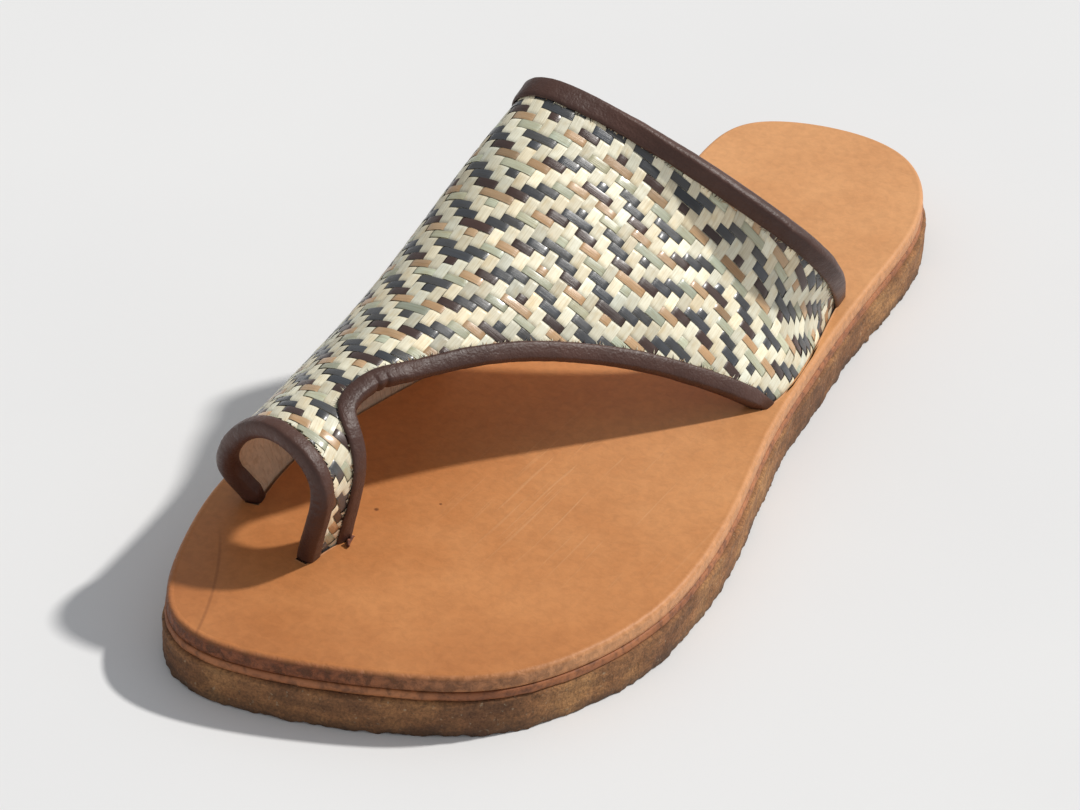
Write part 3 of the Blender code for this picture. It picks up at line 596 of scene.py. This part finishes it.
# Plaited straw: flat cream strips from toe to heel and dyed ones across, two over and two under,
# the wale turning every seven strips. The net of crossings is laid on the form in even steps.
MAT_CENTRE = (0.667, 0.7215)
MAT_ROW, MAT_COLUMN = 2, 12
ALONG_TURN, ACROSS_TURN = np.radians((-31.4, -34.8))
ROW_PITCH, COLUMN_PITCH = 2.13, 2.47
ROWS, COLUMNS = (-54, 36), (-36, 54)
ZIGZAG = 7  # cream strips from one turn of the twill to the next
NEWTON_STEP = 0.03  # largest single correction on the form while the net is laid
SOUND_AREA, SOUND_LENGTH = 0.75, 1.06  # least area and longest side of a cell that is counted on
REDRAWN = 20  # crossings that are drawn on past the sound net
WEAVE_RISE = 0.21  # how far a strip's middle goes above or below the mat's own middle
STRIP_CROWN = 0.06  # how far a strip's two edges curl down
CREAM_HALF, DYED_HALF = 0.515, 0.475  # half a strip's width, as a share of the pitch
PER_CELL = 5  # steps along a strip from one crossing to the next
FACE_SIDES = (0.8, 0.95)  # longest sides of a strip's faces, along and across
CREAM = (0.82, 0.765, 0.585)
DYES = (  # brown, slate, slate, sage and tan strips in turn
    (0.052, 0.024, 0.018),
    (0.05, 0.054, 0.062),
    (0.066, 0.069, 0.074),
    (0.5, 0.515, 0.375),
    (0.54, 0.345, 0.185),
)


def lay_line(start, heading, pitch, count):
    """Straight strip on the form: equal steps of pitch from start, first along heading, each
    next one along the last."""
    line = [np.array(start, float)]
    here, along, across = on_form(*start)
    for _ in range(count):
        step = lstsq(np.stack([along, across], 1), heading, rcond=None)[0]
        step *= pitch / norm(step[0] * along + step[1] * across)
        there = on_form(*(line[-1] + step))[0]
        step *= pitch / norm(there - here)
        line.append(line[-1] + step)
        there, along, across = on_form(*line[-1])
        heading, here = there - here, there
    return np.array(line)


def fill_quarter(rows, columns):
    """Crossings between a line of rows and a line of columns: each is ROW_PITCH from the one
    before it along its cream strip and COLUMN_PITCH along its dyed strip, found by three
    Newton steps on a whole diagonal at once."""
    where = np.zeros((len(rows), len(columns), 2))
    where[:, 0], where[0] = rows, columns
    at = on_form(where[..., 0], where[..., 1])[0]
    for k in range(2, len(rows) + len(columns) - 1):
        i = np.arange(max(1, k - len(columns) + 1), min(len(rows), k))
        j = k - i
        guess = where[i - 1, j] + where[i, j - 1] - where[i - 1, j - 1]
        for _ in range(3):
            here, along, across = on_form(*guess.T)
            up, out = here - at[i - 1, j], here - at[i, j - 1]
            miss_up = (up ** 2).sum(1) - ROW_PITCH ** 2
            miss_out = (out ** 2).sum(1) - COLUMN_PITCH ** 2
            a, b = 2 * (up * along).sum(1), 2 * (up * across).sum(1)
            c, d = 2 * (out * along).sum(1), 2 * (out * across).sum(1)
            det = a * d - b * c
            det = np.where(np.abs(det) < 1e-6, 1e-6, det)
            move = np.stack([d * miss_up - b * miss_out, a * miss_out - c * miss_up], 1)
            guess = guess - np.clip(move / det[:, None], -NEWTON_STEP, NEWTON_STEP)
        where[i, j] = guess
        at[i, j] = on_form(*guess.T)[0]
    return where


def carry_on(where, sound, cells):
    """Where the net closes up it is drawn again from its sound part: each missing crossing is
    the mean of its neighbours' straight continuations, ring after ring. Then each redrawn one
    moves to the mean of its four neighbours, which evens them out where rings meet."""
    rim = cells + 2
    grown = np.pad(np.where(sound[..., None], where, np.nan), ((rim, rim), (rim, rim), (0, 0)),
                   constant_values=np.nan)
    redrawn = np.isnan(grown)
    for _ in range(cells):
        guesses = []
        for step in (1, -1):
            for axis in (0, 1):
                guesses.append(2 * np.roll(grown, step, axis) - np.roll(grown, 2 * step, axis))
            for other in (1, -1):
                guesses.append(np.roll(grown, step, 0) + np.roll(grown, other, 1)
                               - np.roll(grown, (step, other), (0, 1)))
        known = np.isfinite(guesses)
        count = known.sum(0)
        mean = np.where(known, guesses, 0).sum(0) / np.maximum(count, 1)
        grown = np.where(np.isnan(grown) & (count > 0), mean, grown)
    for _ in range(2 * cells):
        mean = sum(np.roll(grown, step, axis) for step in (1, -1) for axis in (0, 1)) / 4
        grown = np.where(redrawn & np.isfinite(mean), mean, grown)
    return grown[rim:-rim, rim:-rim]


def lay_mat():
    """Where on the form each crossing of a dyed row and a cream column lies. What joins soundly
    on to the mat's centre is kept, the rest is drawn again."""
    _, along, across = on_form(*MAT_CENTRE)
    ahead = unit(along)
    aside = unit(across - (across @ ahead) * ahead)
    up = ahead * np.cos(ALONG_TURN) + aside * np.sin(ALONG_TURN)
    out = aside * np.cos(ACROSS_TURN) - ahead * np.sin(ACROSS_TURN)
    where = np.zeros((ROWS[1] - ROWS[0] + 1, COLUMNS[1] - COLUMNS[0] + 1, 2))
    centre_i, centre_j = MAT_ROW - ROWS[0], MAT_COLUMN - COLUMNS[0]
    for up_sign, row_count in ((1, ROWS[1] - MAT_ROW), (-1, MAT_ROW - ROWS[0])):
        rows = lay_line(MAT_CENTRE, up * up_sign, ROW_PITCH, row_count)
        for out_sign, column_count in ((1, COLUMNS[1] - MAT_COLUMN), (-1, MAT_COLUMN - COLUMNS[0])):
            columns = lay_line(MAT_CENTRE, out * out_sign, COLUMN_PITCH, column_count)
            i = centre_i + up_sign * np.arange(row_count + 1)
            j = centre_j + out_sign * np.arange(column_count + 1)
            where[np.ix_(i, j)] = fill_quarter(rows, columns)
    at = on_form(where[..., 0], where[..., 1])[0]
    up, out = at[1:, :-1] - at[:-1, :-1], at[:-1, 1:] - at[:-1, :-1]
    area = norm(np.cross(up, out), axis=-1) / (ROW_PITCH * COLUMN_PITCH)
    ahead, aside = where[1:, :-1] - where[:-1, :-1], where[:-1, 1:] - where[:-1, :-1]
    turned = np.sign(ahead[..., 0] * aside[..., 1] - ahead[..., 1] * aside[..., 0])
    long = np.maximum(norm(up, axis=-1) / ROW_PITCH, norm(out, axis=-1) / COLUMN_PITCH)
    cells = (area > SOUND_AREA) & (long < SOUND_LENGTH) & (turned == turned[centre_i, centre_j])
    sound = np.zeros(where.shape[:2], bool)
    sound[1:-1, 1:-1] = grid(cells).all(-1)
    sound &= (np.abs(where - 0.5) < 0.5).all(-1)
    joined = np.zeros_like(sound)
    joined[centre_i, centre_j] = True
    for _ in range(sum(sound.shape)):
        for axis in (0, 1):
            joined |= (np.roll(joined, 1, axis) | np.roll(joined, -1, axis)) & sound
    return carry_on(where, joined, REDRAWN)


def mat_outline(steps=120):
    """The straw's own edge, once round: under the bindings at the free edges and the notch, and
    down in the slits at the feet."""
    leg, throat, out = notch_edges(np.linspace(0, 1, steps))
    foot, under = 0.014, 0.013
    low, high = FREE_EDGE + under, 1 - FREE_EDGE - under
    band = np.c_[np.r_[throat[-1], throat[::-1]] + under, np.r_[1 + foot, out[::-1]]]
    toe = np.c_[np.r_[leg, leg[-1]] - under, np.r_[out, 1 + foot]]
    return np.vstack([[(low, -foot), (high, -foot), (high, 1 + foot)], band, toe, [(low, 1 + foot)]])


def plait(net, on_top, pitch, half, colour, chance):
    """All strips of one way: strip k runs through the crossings net[k] at WEAVE_RISE above the
    form where on_top says so and as far below where not, eased between, its edges STRIP_CROWN
    lower. Each float has its own tone. Gives points, faces and point values."""
    count, other = net.shape[0] - 2, net.shape[1]
    run = np.arange((other - 1) * PER_CELL + 1) / PER_CELL
    first = np.minimum(run.astype(int), other - 2)
    share = (run - first)[None, :, None]
    ease = eased(np.clip((share[..., 0] - 0.22) / 0.56, 0, 1))

    def along_run(table, share):
        return table[:, first] * (1 - share) + table[:, first + 1] * share

    line, side = along_run(net[1:-1], share), along_run((net[2:] - net[:-2]) / 2, share)
    across = np.linspace(-1, 1, 5)
    wide = 1 + 0.05 * chance.normal(0, 1, (count, 1, 1, 1))
    st = line[:, :, None] + side[:, :, None] * across[:, None] * half * wide
    on_top = on_top[1:-1]
    level = np.where(on_top, 1.0, -1.0)
    height = WEAVE_RISE * along_run(level, ease)[..., None] - STRIP_CROWN * np.abs(across) ** 4
    tilt = chance.normal(0, 0.04, (count, other))
    height = height + along_run(tilt, ease)[..., None] * across
    fine = np.isfinite(st).all(-1)
    st = np.where(fine[..., None], st, 0.5)
    points = raised(st[..., 0], st[..., 1], height)
    centre = (st[:, :-1, :-1] + st[:, 1:, 1:]) / 2
    keep = grid(fine).all(-1)
    keep &= inside(centre.reshape(-1, 2), mat_outline()).reshape(keep.shape)
    keep &= norm(points[:, 1:, :-1] - points[:, :-1, :-1], axis=-1) < FACE_SIDES[0]
    keep &= norm(points[:, :-1, 1:] - points[:, :-1, :-1], axis=-1) < FACE_SIDES[1]
    index = np.arange(points[..., 0].size).reshape(points.shape[:3])
    faces = grid(index)[keep]
    starts = np.cumsum(on_top & ~np.roll(on_top, 1, 1), 1)
    nearest = np.round(run).astype(int)
    tone = 1 + 0.13 * chance.normal(0, 1, (count, other)) + 0.05 * chance.normal(0, 1, (count, 1))
    warm = chance.normal(0, 1, (count, other))
    tone, warm = [np.take_along_axis(table, starts, 1)[:, nearest, None] for table in (tone, warm)]
    shift = 1 + warm * np.array((0.02, -0.01, -0.045))
    tint = colour[1:-1, None, :] * np.clip(tone, 0.6, 1.4) * shift
    tint = np.broadcast_to(tint[:, :, None], (*points.shape[:3], 3))
    lay = np.stack(np.broadcast_arrays((run * pitch)[None, :, None], across * pitch / 2,
                                       np.arange(count)[:, None, None] * 3.7), -1)
    used, faces = np.unique(faces, return_inverse=True)
    points, tint, lay = [table.reshape(-1, 3)[used] for table in (points, tint, lay)]
    return points, faces.reshape(-1, 4), {"tint": tint, "lay": lay}


def straw_fibre(lay, tint):
    """Fibres along a strip and slow stains, from its lay."""
    fibre = noise(stretched(lay, 0.14, 3.6, 1), 1.0, 4.0, Roughness=0.6)
    stain = noise(stretched(lay, 0.5, 1.2, 1), 0.6, 2.0)
    shade = ramp(fibre, (0.32, (0.86, 0.83, 0.77)), (0.52, 1.0), (0.75, 1.1))
    warm = ramp(stain, (0.3, (0.95, 0.89, 0.8)), (0.48, 1.0), (0.72, (1.04, 1.05, 1.06)))
    return tinted(tinted(tint, shade), warm), fibre


FIBRE = group(straw_fibre, {"Lay": "Vector", "Tint": "Color"}, {"Colour": "Color", "Fibre": "Float"})


def straw(name, roughness, coat):
    """Straw with its own tint, fibres and a soft gloss."""
    made, where = finish(name, roughness, Coat_Weight=coat, Coat_Roughness=0.2)
    lay, tint = [node(where, "Attribute", attribute_name=key).outputs for key in ("lay", "tint")]
    inputs = {"Lay": lay["Vector"], "Tint": tint["Color"]}
    colour, fibre = node(where, "Group", inputs, node_tree=FIBRE).outputs[:2]
    return dressed(made, Base_Color=colour, Normal=relief(fibre, 0.5, 0.00016),
                   Roughness=spread(fibre, 0.3, 0.7, roughness + 0.12, roughness - 0.08))


net = lay_mat()
row, column = np.meshgrid(np.arange(ROWS[0], ROWS[1] + 1), np.arange(COLUMNS[0], COLUMNS[1] + 1),
                          indexing="ij")
turn = np.abs((column + ZIGZAG) % (2 * ZIGZAG) - ZIGZAG)
dyed_on_top = (row - 2 - turn) % 4 < 2
chance = np.random.default_rng(5)
cream = np.broadcast_to(CREAM, (net.shape[1], 3))
points, faces, values = plait(net.transpose(1, 0, 2), ~dyed_on_top.T, ROW_PITCH, CREAM_HALF, cream,
                              chance)
cream_straw = straw("straw_cream", 0.5, 0.12)
put("straw_lengthwise", points, faces[:, ::-1], cream_straw, "plaited_straw", ["upper"], **values)
dyed = np.array(DYES)[row[:, 0] % len(DYES)]
points, faces, values = plait(net, dyed_on_top, COLUMN_PITCH, DYED_HALF, dyed, chance)
put("straw_crosswise", points, faces, straw("straw_dyed", 0.36, 0.5), "plaited_straw", **values)


# Lining: soft beige leather cemented behind the straw, one leaf that turns down into the slits.
# It is finely wrinkled across, where the panel was drawn over the last, with painted shade along
# the wrinkle lines.
LINING_TOP, LINING_LOW = -0.8, -1.9
LINING_ROWS = (14, 80)
LINING_COLUMNS = (70, 70)


def shell(top, low, quads):
    """Closed sheet: two sides on the same quads, joined along each edge that one quad has."""
    size = len(top)
    edges = np.vstack([quads[:, [k, (k + 1) % 4]] for k in range(4)])
    pair = np.sort(edges, 1)
    _, where, counts = np.unique(pair[:, 0] * size + pair[:, 1], return_index=True, return_counts=True)
    rim = edges[where[counts == 1]]
    return (np.vstack([top, low]),
            np.vstack([quads, quads[:, ::-1] + size, np.c_[rim[:, ::-1], rim + size]]))


def panel_grid():
    """Places s and t over the leg and the band, and their quads; both blocks share one row as
    far as the notch. The first and last columns go down into the slits."""
    shares = np.linspace(0, 1, LINING_COLUMNS[1] + 1)
    leg, throat, out = notch_edges(shares)
    near = LINING_COLUMNS[0] + 1
    drop = SLIT_DEPTH / GIRTH
    t = np.r_[-drop, np.linspace(0, NOTCH_T, near)[:-1], out, 1 + drop]
    leg, throat = [np.r_[np.full(near, run[0]), run, run[-1]] for run in (leg, throat)]
    low, high = [np.linspace(0, 1, rows + 1)[:, None] for rows in LINING_ROWS]
    s = np.vstack([FREE_EDGE + (leg - FREE_EDGE) * low, throat + (1 - FREE_EDGE - throat) * high])
    index = np.arange(s.size).reshape(s.shape)
    split = LINING_ROWS[0] + 1
    index[split, :near + 1] = index[split - 1, :near + 1]
    quads = np.delete(grid(index), split - 1, 0).reshape(-1, 4)
    return s.ravel(), np.broadcast_to(t, s.shape).ravel(), quads


def lining_leather():
    made, where = finish("beige_lining", 0.78)
    pores, creases, blotches = grained(where, 1.3)
    lay = node(where, "Attribute", attribute_name="lay").outputs["Vector"]
    wrinkle = noise(stretched(lay, 2.2, 0.16, 1), 1.0, 3.0, Distortion=0.5)
    base = ramp(blotches, (0.35, (0.72, 0.54, 0.37)), (0.65, (0.8, 0.64, 0.47)))
    # painted shade: darker along the wrinkle lines
    lines = ramp(wrinkle, (0.38, (0.86, 0.81, 0.76)), (0.48, 1.0))
    fine = ramp(creases, (0.33, 0.85), (0.6, 1.04))
    return dressed(made, Base_Color=tinted(tinted(base, lines, 0.85), fine),
                   Normal=relief(pores, 0.3, 0.00012, relief(wrinkle, 0.6, 0.0004)))


s, t, quads = panel_grid()
used, quads = np.unique(quads, return_inverse=True)
s, t, quads = s[used], t[used], quads.reshape(-1, 4)
points, faces = shell(raised(s, t, LINING_TOP), raised(s, t, LINING_LOW), quads[:, ::-1])
lay = np.tile(np.c_[s * LENGTH, t * GIRTH, 0 * s], (2, 1))
put("panel_lining", points, faces, lining_leather(), "plaited_straw", lay=lay)


# Bindings: soft dark leather folded over each free edge and cemented down, a little uneven by
# hand. The throat's strip is one piece, gathered in small pleats round the notch.
BIND_T = 0.75  # the leather's thickness
BIND_GAP, BIND_BEHIND = 0.4, 0.3  # between the panel and the strip's two leaves
BIND_FOOT = INSOLE_TOP + 0.03
COLLAR_LEAF, LOOP_LEAF, THROAT_LEAF = 3.7, 2.9, 3.0  # from the cut edge to the leaf's own edge
PLEATS = ((0.683, 0.35), (0.7, 0.4))  # along the throat's strip as a share, and how deep


def fold_section(leg):
    """Section of a folded strip: distance inward from the cut edge, height above the form. Down
    the outer leaf, round the fold, up the inner leaf, and back along the inside."""
    top, low = BIND_GAP, -WALL_T - BIND_BEHIND
    middle, half = (top + low) / 2, (top - low) / 2 + BIND_T
    turn = np.linspace(0.08, np.pi - 0.08, 15)
    fold = np.c_[-(BIND_GAP + BIND_T) * np.sin(turn), middle + half * np.cos(turn)]
    outer = [(leg, 0.3), (leg + 0.06, 0.52), (leg - 0.18, 0.86), (leg - 0.6, 1.02), (leg * 0.55, 1.1),
             (leg * 0.25, top + BIND_T)]
    inner = [(leg * 0.3, low - BIND_T), (leg * 0.7, low - BIND_T * 0.95), (leg - 0.1, low - 0.55),
             (leg, low - 0.1)]
    inside_face = [(leg * 0.5, low + 0.05), (0, low + 0.05), (-0.25, -WALL_T), (-0.25, 0), (0, top - 0.05),
                   (leg * 0.5, top - 0.05)]
    return np.vstack([outer, fold, inner, inside_face])


def cut_level(rings, level):
    """Shorten a run of sections at both ends so that each ends flat at a level: each line of the
    run is followed to where it comes down to the level."""
    for _ in range(2):
        rings = rings[::-1]
        first = int(np.argmax(rings[:, :, 2].min(1) > level + 0.15))
        line = rings[:first + 1]
        lowest = np.maximum(np.argmax(line[:, :, 2] > level, axis=0), 1)
        pick = np.arange(line.shape[1])
        before, after = line[lowest - 1, pick], line[lowest, pick]
        share = (level - before[:, 2:]) / (after[:, 2:] - before[:, 2:])
        rings = np.concatenate([(before + (after - before) * share)[None], rings[first:]])
    return rings


def dark_leather():
    made, where = finish("dark_binding_leather", 0.42, Specular_IOR_Level=0.4)
    pores, creases, blotches = grained(where, 1.5)
    base = ramp(blotches, (0.32, (0.058, 0.024, 0.017)), (0.68, (0.1, 0.046, 0.034)))
    worn = ramp(creases, (0.6, 0.0), (0.76, 0.35))
    coarse = relief(creases, 0.45, 0.00035)
    return dressed(made, Base_Color=blend(worn, base, (0.19, 0.115, 0.085)),
                   Roughness=spread(creases, 0.3, 0.7, 0.36, 0.56),
                   Normal=relief(pores, 0.4, 0.00015, coarse))


DARK = dark_leather()


def edge_frame(edge, inner):
    """Along a cut edge on the form: the length so far, the way inward, and how fast s and t
    change with each millimetre inward."""
    at, by_s, by_t = on_form(*edge.T)
    length = run_length(at)
    along = unit(np.gradient(at, length, axis=0))
    inward = np.cross(unit(np.cross(by_t, by_s)), along)
    inward = unit(inward * np.sign((inward * (on_form(*inner.T)[0] - at)).sum(1))[:, None])
    ss, st, tt = (by_s ** 2).sum(1), (by_s * by_t).sum(1), (by_t ** 2).sum(1)
    to_s, to_t = (inward * by_s).sum(1), (inward * by_t).sum(1)
    rate = np.stack([tt * to_s - st * to_t, ss * to_t - st * to_s], 1) / (ss * tt - st ** 2)[:, None]
    return length, along, inward, rate


def binding(name, node_name, edge, inner, leg, seed, pleats=()):
    """A folded strip: its section carried along the cut edge, the outer leaf following the form
    to each point's own depth; its width and swell vary slowly, and pleats press it in."""
    length, _, inward, rate = edge_frame(edge, inner)
    u = length / length[-1]
    cells = int(length[-1])
    wave = waver(u, max(cells // 7, 3), seed) + 0.6 * waver(u, cells // 2, seed + 1)
    swell = waver(u, max(cells // 5, 3), seed + 2) + 0.7 * waver(u, cells, seed + 3)
    press = sum((deep * np.exp(-((length - length[-1] * spot) / 0.55) ** 2) for spot, deep in pleats),
                0 * length)
    rings = []
    for depth, height in fold_section(leg):
        free = np.clip((leg - depth) / leg, 0, 1)
        reach = depth + (0.12 * wave if depth > leg * 0.8 else 0 * wave)
        skin = abs(height + WALL_T / 2) > WALL_T / 2 + 0.45 or depth < -0.3
        side = np.sign(height + WALL_T / 2)
        lift = side * (0.06 * swell - press * 0.7 * free) if skin else 0 * swell
        pull = (0.06 * swell + press) * max(-depth, 0) if skin else 0 * swell
        where = (edge + rate * np.maximum(reach, 0)[:, None]).T
        rings.append(raised(*where, height + lift) + inward * (np.minimum(reach, 0) + pull)[:, None])
    rings = cut_level(np.stack(rings, 1), BIND_FOOT)
    faces = tube(*rings.shape[:2])
    centre = rings.mean(1)[:-1, None]
    out = np.cross(np.roll(rings, -1, 1)[:-1] - rings[:-1], rings[1:] - rings[:-1])
    if (out * (rings[:-1] - centre)).sum() < 0:
        faces = [face[::-1] for face in faces]
    put(name, rings.reshape(-1, 3), faces, DARK, "dark_leather", [node_name])


drop = SLIT_DEPTH / GIRTH
t = np.linspace(-drop, 1 + drop, 300)
high, low = np.full_like(t, 1 - FREE_EDGE), np.full_like(t, FREE_EDGE)
collar = np.c_[high, t], np.c_[high - 0.03, t], COLLAR_LEAF
front = np.c_[low, t], np.c_[low + 0.02, t], LOOP_LEAF
binding("collar_binding_strip", "collar_binding", *collar, 21)
binding("loop_binding_strip", "loop_binding", *front, 31)
leg, throat, out = notch_edges(np.linspace(0, 1, 170))
down = np.linspace(1 + drop, 1, 8)[:-1]
edge = np.vstack([np.c_[0 * down + throat[-1], down], np.c_[throat, out][::-1],
                  np.c_[leg, out][1:], np.c_[0 * down + leg[-1], down[::-1]]])
corner = len(down) + len(out)
inner = edge + np.c_[np.where(np.arange(len(edge)) < corner, 0.02, -0.02), np.zeros(len(edge))]
inner[corner - 12:corner + 12, 1] -= 0.03
notch = edge, inner, THROAT_LEAF
binding("throat_binding_strip", "throat_binding", *notch, 41, PLEATS)


# Frayed ends: where the mat was cut, thin slivers of straw stick out from under the bindings'
# leaves, mostly cream and tan, each lying its own way.
FRAY_EVERY = 0.75  # between two slivers along a binding
FRAY_LONG, FRAY_WIDE = (0.5, 1.5), (0.16, 0.42)
FRAY_SKEW = 0.9  # how far aside a sliver may point, for each part inward
FRAY_HEIGHT, FRAY_T = 0.36, 0.12  # its root above the form, and its thickness there
FRAY_LIFT = (-0.1, 0.16)  # how far its tip bends down or up


def frayed_ends(edge, inner, leg):
    """Slivers along one binding: each is a flat wedge of four points, wide where it comes out
    and pointed at its tip. Gives points, faces and tint."""
    length, along, inward, rate = edge_frame(edge, inner)
    count = int(length[-1] / FRAY_EVERY)
    at = chance.uniform(4, length[-1] - 4, count)
    root, along, inward = [np.stack([np.interp(at, length, column) for column in table.T], 1)
                           for table in (edge + rate * (leg - 0.15), along, inward)]
    way = unit(inward + along * chance.uniform(-FRAY_SKEW, FRAY_SKEW, (count, 1)))
    side = unit(along - way * (along * way).sum(1, keepdims=True))
    long, wide = chance.uniform(*FRAY_LONG, (count, 1)), chance.uniform(*FRAY_WIDE, (count, 1))
    up = np.cross(side, way)
    up *= np.sign((up * (raised(*root.T, 1.0) - raised(*root.T, 0.0))).sum(1))[:, None]
    start = raised(*root.T, FRAY_HEIGHT)
    points = np.stack([start - side * wide / 2, start + side * wide / 2, start - up * FRAY_T,
                       start + way * long + up * chance.uniform(*FRAY_LIFT, (count, 1))], 1)
    faces = np.array([(0, 1, 3), (1, 2, 3), (2, 0, 3), (1, 0, 2)])
    normal = np.cross(points[:, 1] - points[:, 0], points[:, 3] - points[:, 0])
    flip = (normal * up).sum(1) < 0
    points[flip] = points[flip][:, [1, 0, 2, 3]]
    shade = np.array((CREAM, CREAM, DYES[4], DYES[0]))[chance.integers(0, 4, count)]
    return (points.reshape(-1, 3), (faces[None] + 4 * np.arange(count)[:, None, None]).reshape(-1, 3),
            np.repeat(shade * chance.uniform(0.7, 1.05, (count, 1)), 4, 0))


parts = [frayed_ends(*run) for run in (collar, front, notch)]
starts = np.cumsum([0, *(len(part[0]) for part in parts)])
points, tint = [np.vstack([part[k] for part in parts]) for k in (0, 2)]
faces = np.vstack([part[1] + first for part, first in zip(parts, starts)])
put("straw_frayed_ends", points, faces, cream_straw, "plaited_straw", tint=tint, lay=points * 3)


# Tab: the torn, reddish end of the throat's binding, a rounded scrap a few millimetres long that
# lies against the leg's foot.
TAB_LONG, TAB_HIGH, TAB_T = 3.4, 1.3, 0.8
TAB_ASIDE, TAB_BACK = 1.7, -1.3  # its middle from the leg's foot
TAB_LEAN = 0.35  # how far its upper edge wavers


def torn_leather():
    made, where = finish("torn_leather", 0.75)
    _, creases, _ = grained(where, 2.0)
    shade = ramp(creases, (0.35, (0.075, 0.024, 0.014)), (0.65, (0.3, 0.095, 0.05)))
    return dressed(made, Base_Color=shade, Normal=relief(creases, 0.8, 0.0004))


foot = on_form(leg[-1], 1.0)[0]
turn = np.linspace(0, 2 * np.pi, 13)[:-1]
u = np.linspace(-1, 1, 15)[:, None]
lean = TAB_LEAN * waver((u + 1) / 2, 5, 51)
height = TAB_HIGH * (1 - 0.45 * u ** 2) * (1 + 0.25 * waver((u + 1) / 2, 9, 52))
points = np.stack([foot[0] + TAB_ASIDE + 0.5 * u + TAB_T / 2 * np.cos(turn) + lean * (np.sin(turn) > 0),
                   foot[1] + TAB_BACK - TAB_LONG / 2 * u + 0 * turn,
                   INSOLE_TOP + 0.06 + height * (1 + np.sin(turn)) / 2], -1)
put("leg_foot_tab", points.reshape(-1, 3), tube(*points.shape[:2]), torn_leather(), "dark_leather")


# Floor, light and camera: a plain pale floor, one soft-edged light from behind and a little to
# the lateral side, a pale sky as fill, and the photograph's angle to the sandal.
SUN_WAY, SUN_STRENGTH, SUN_WIDTH = (0.455, 0.542, 0.707), 2.8, 3.5
CAMERA_AIM = (-65.19, -12.785, 0.0)
CAMERA_TURN, CAMERA_TILT, CAMERA_AWAY = 33.477, 34.0, 849.95
LENS, ZOOM, SHIFT = 82.76, 1.5, (0.204, -0.039)

mesh = bpy.data.meshes.new("floor")
mesh.from_pydata([(-3, -3, 0), (3, -3, 0), (3, 3, 0), (-3, 3, 0)], [], [(0, 1, 2, 3)])
floor = stand("floor", mesh)
made, where = finish("pale_floor", 0.75)
pale = ramp(noise(where, 6.0), (0.3, (0.81, 0.815, 0.825)), (0.7, (0.84, 0.845, 0.85)))
mesh.materials.append(dressed(made, Base_Color=pale))

light = bpy.data.lights.new("sun", "SUN")
light.energy = SUN_STRENGTH
light.angle = np.radians(SUN_WIDTH)
light.color = (1.0, 0.972, 0.93)
stand("sun", light).rotation_euler = Vector(SUN_WAY).to_track_quat("Z", "Y").to_euler()

world = bpy.data.worlds.new("pale_sky")
world.use_nodes = True
sky = world.node_tree.nodes["Background"].inputs
sky["Color"].default_value = (0.95, 0.97, 1.0, 1)
sky["Strength"].default_value = 0.4
bpy.context.scene.world = world
bpy.context.scene.view_settings.view_transform = "Standard"

turn, tilt = np.radians((CAMERA_TURN, CAMERA_TILT))
back = np.array([np.sin(turn) * np.cos(tilt), -np.cos(turn) * np.cos(tilt), np.sin(tilt)])
lens = bpy.data.cameras.new("camera")
lens.sensor_width = 36
lens.lens = LENS * ZOOM
lens.shift_x, lens.shift_y = SHIFT
camera = stand("camera", lens)
camera.location = place(np.array(CAMERA_AIM) + back * CAMERA_AWAY)
camera.rotation_euler = Vector(back).to_track_quat("Z", "Y").to_euler()
bpy.context.scene.camera = camera
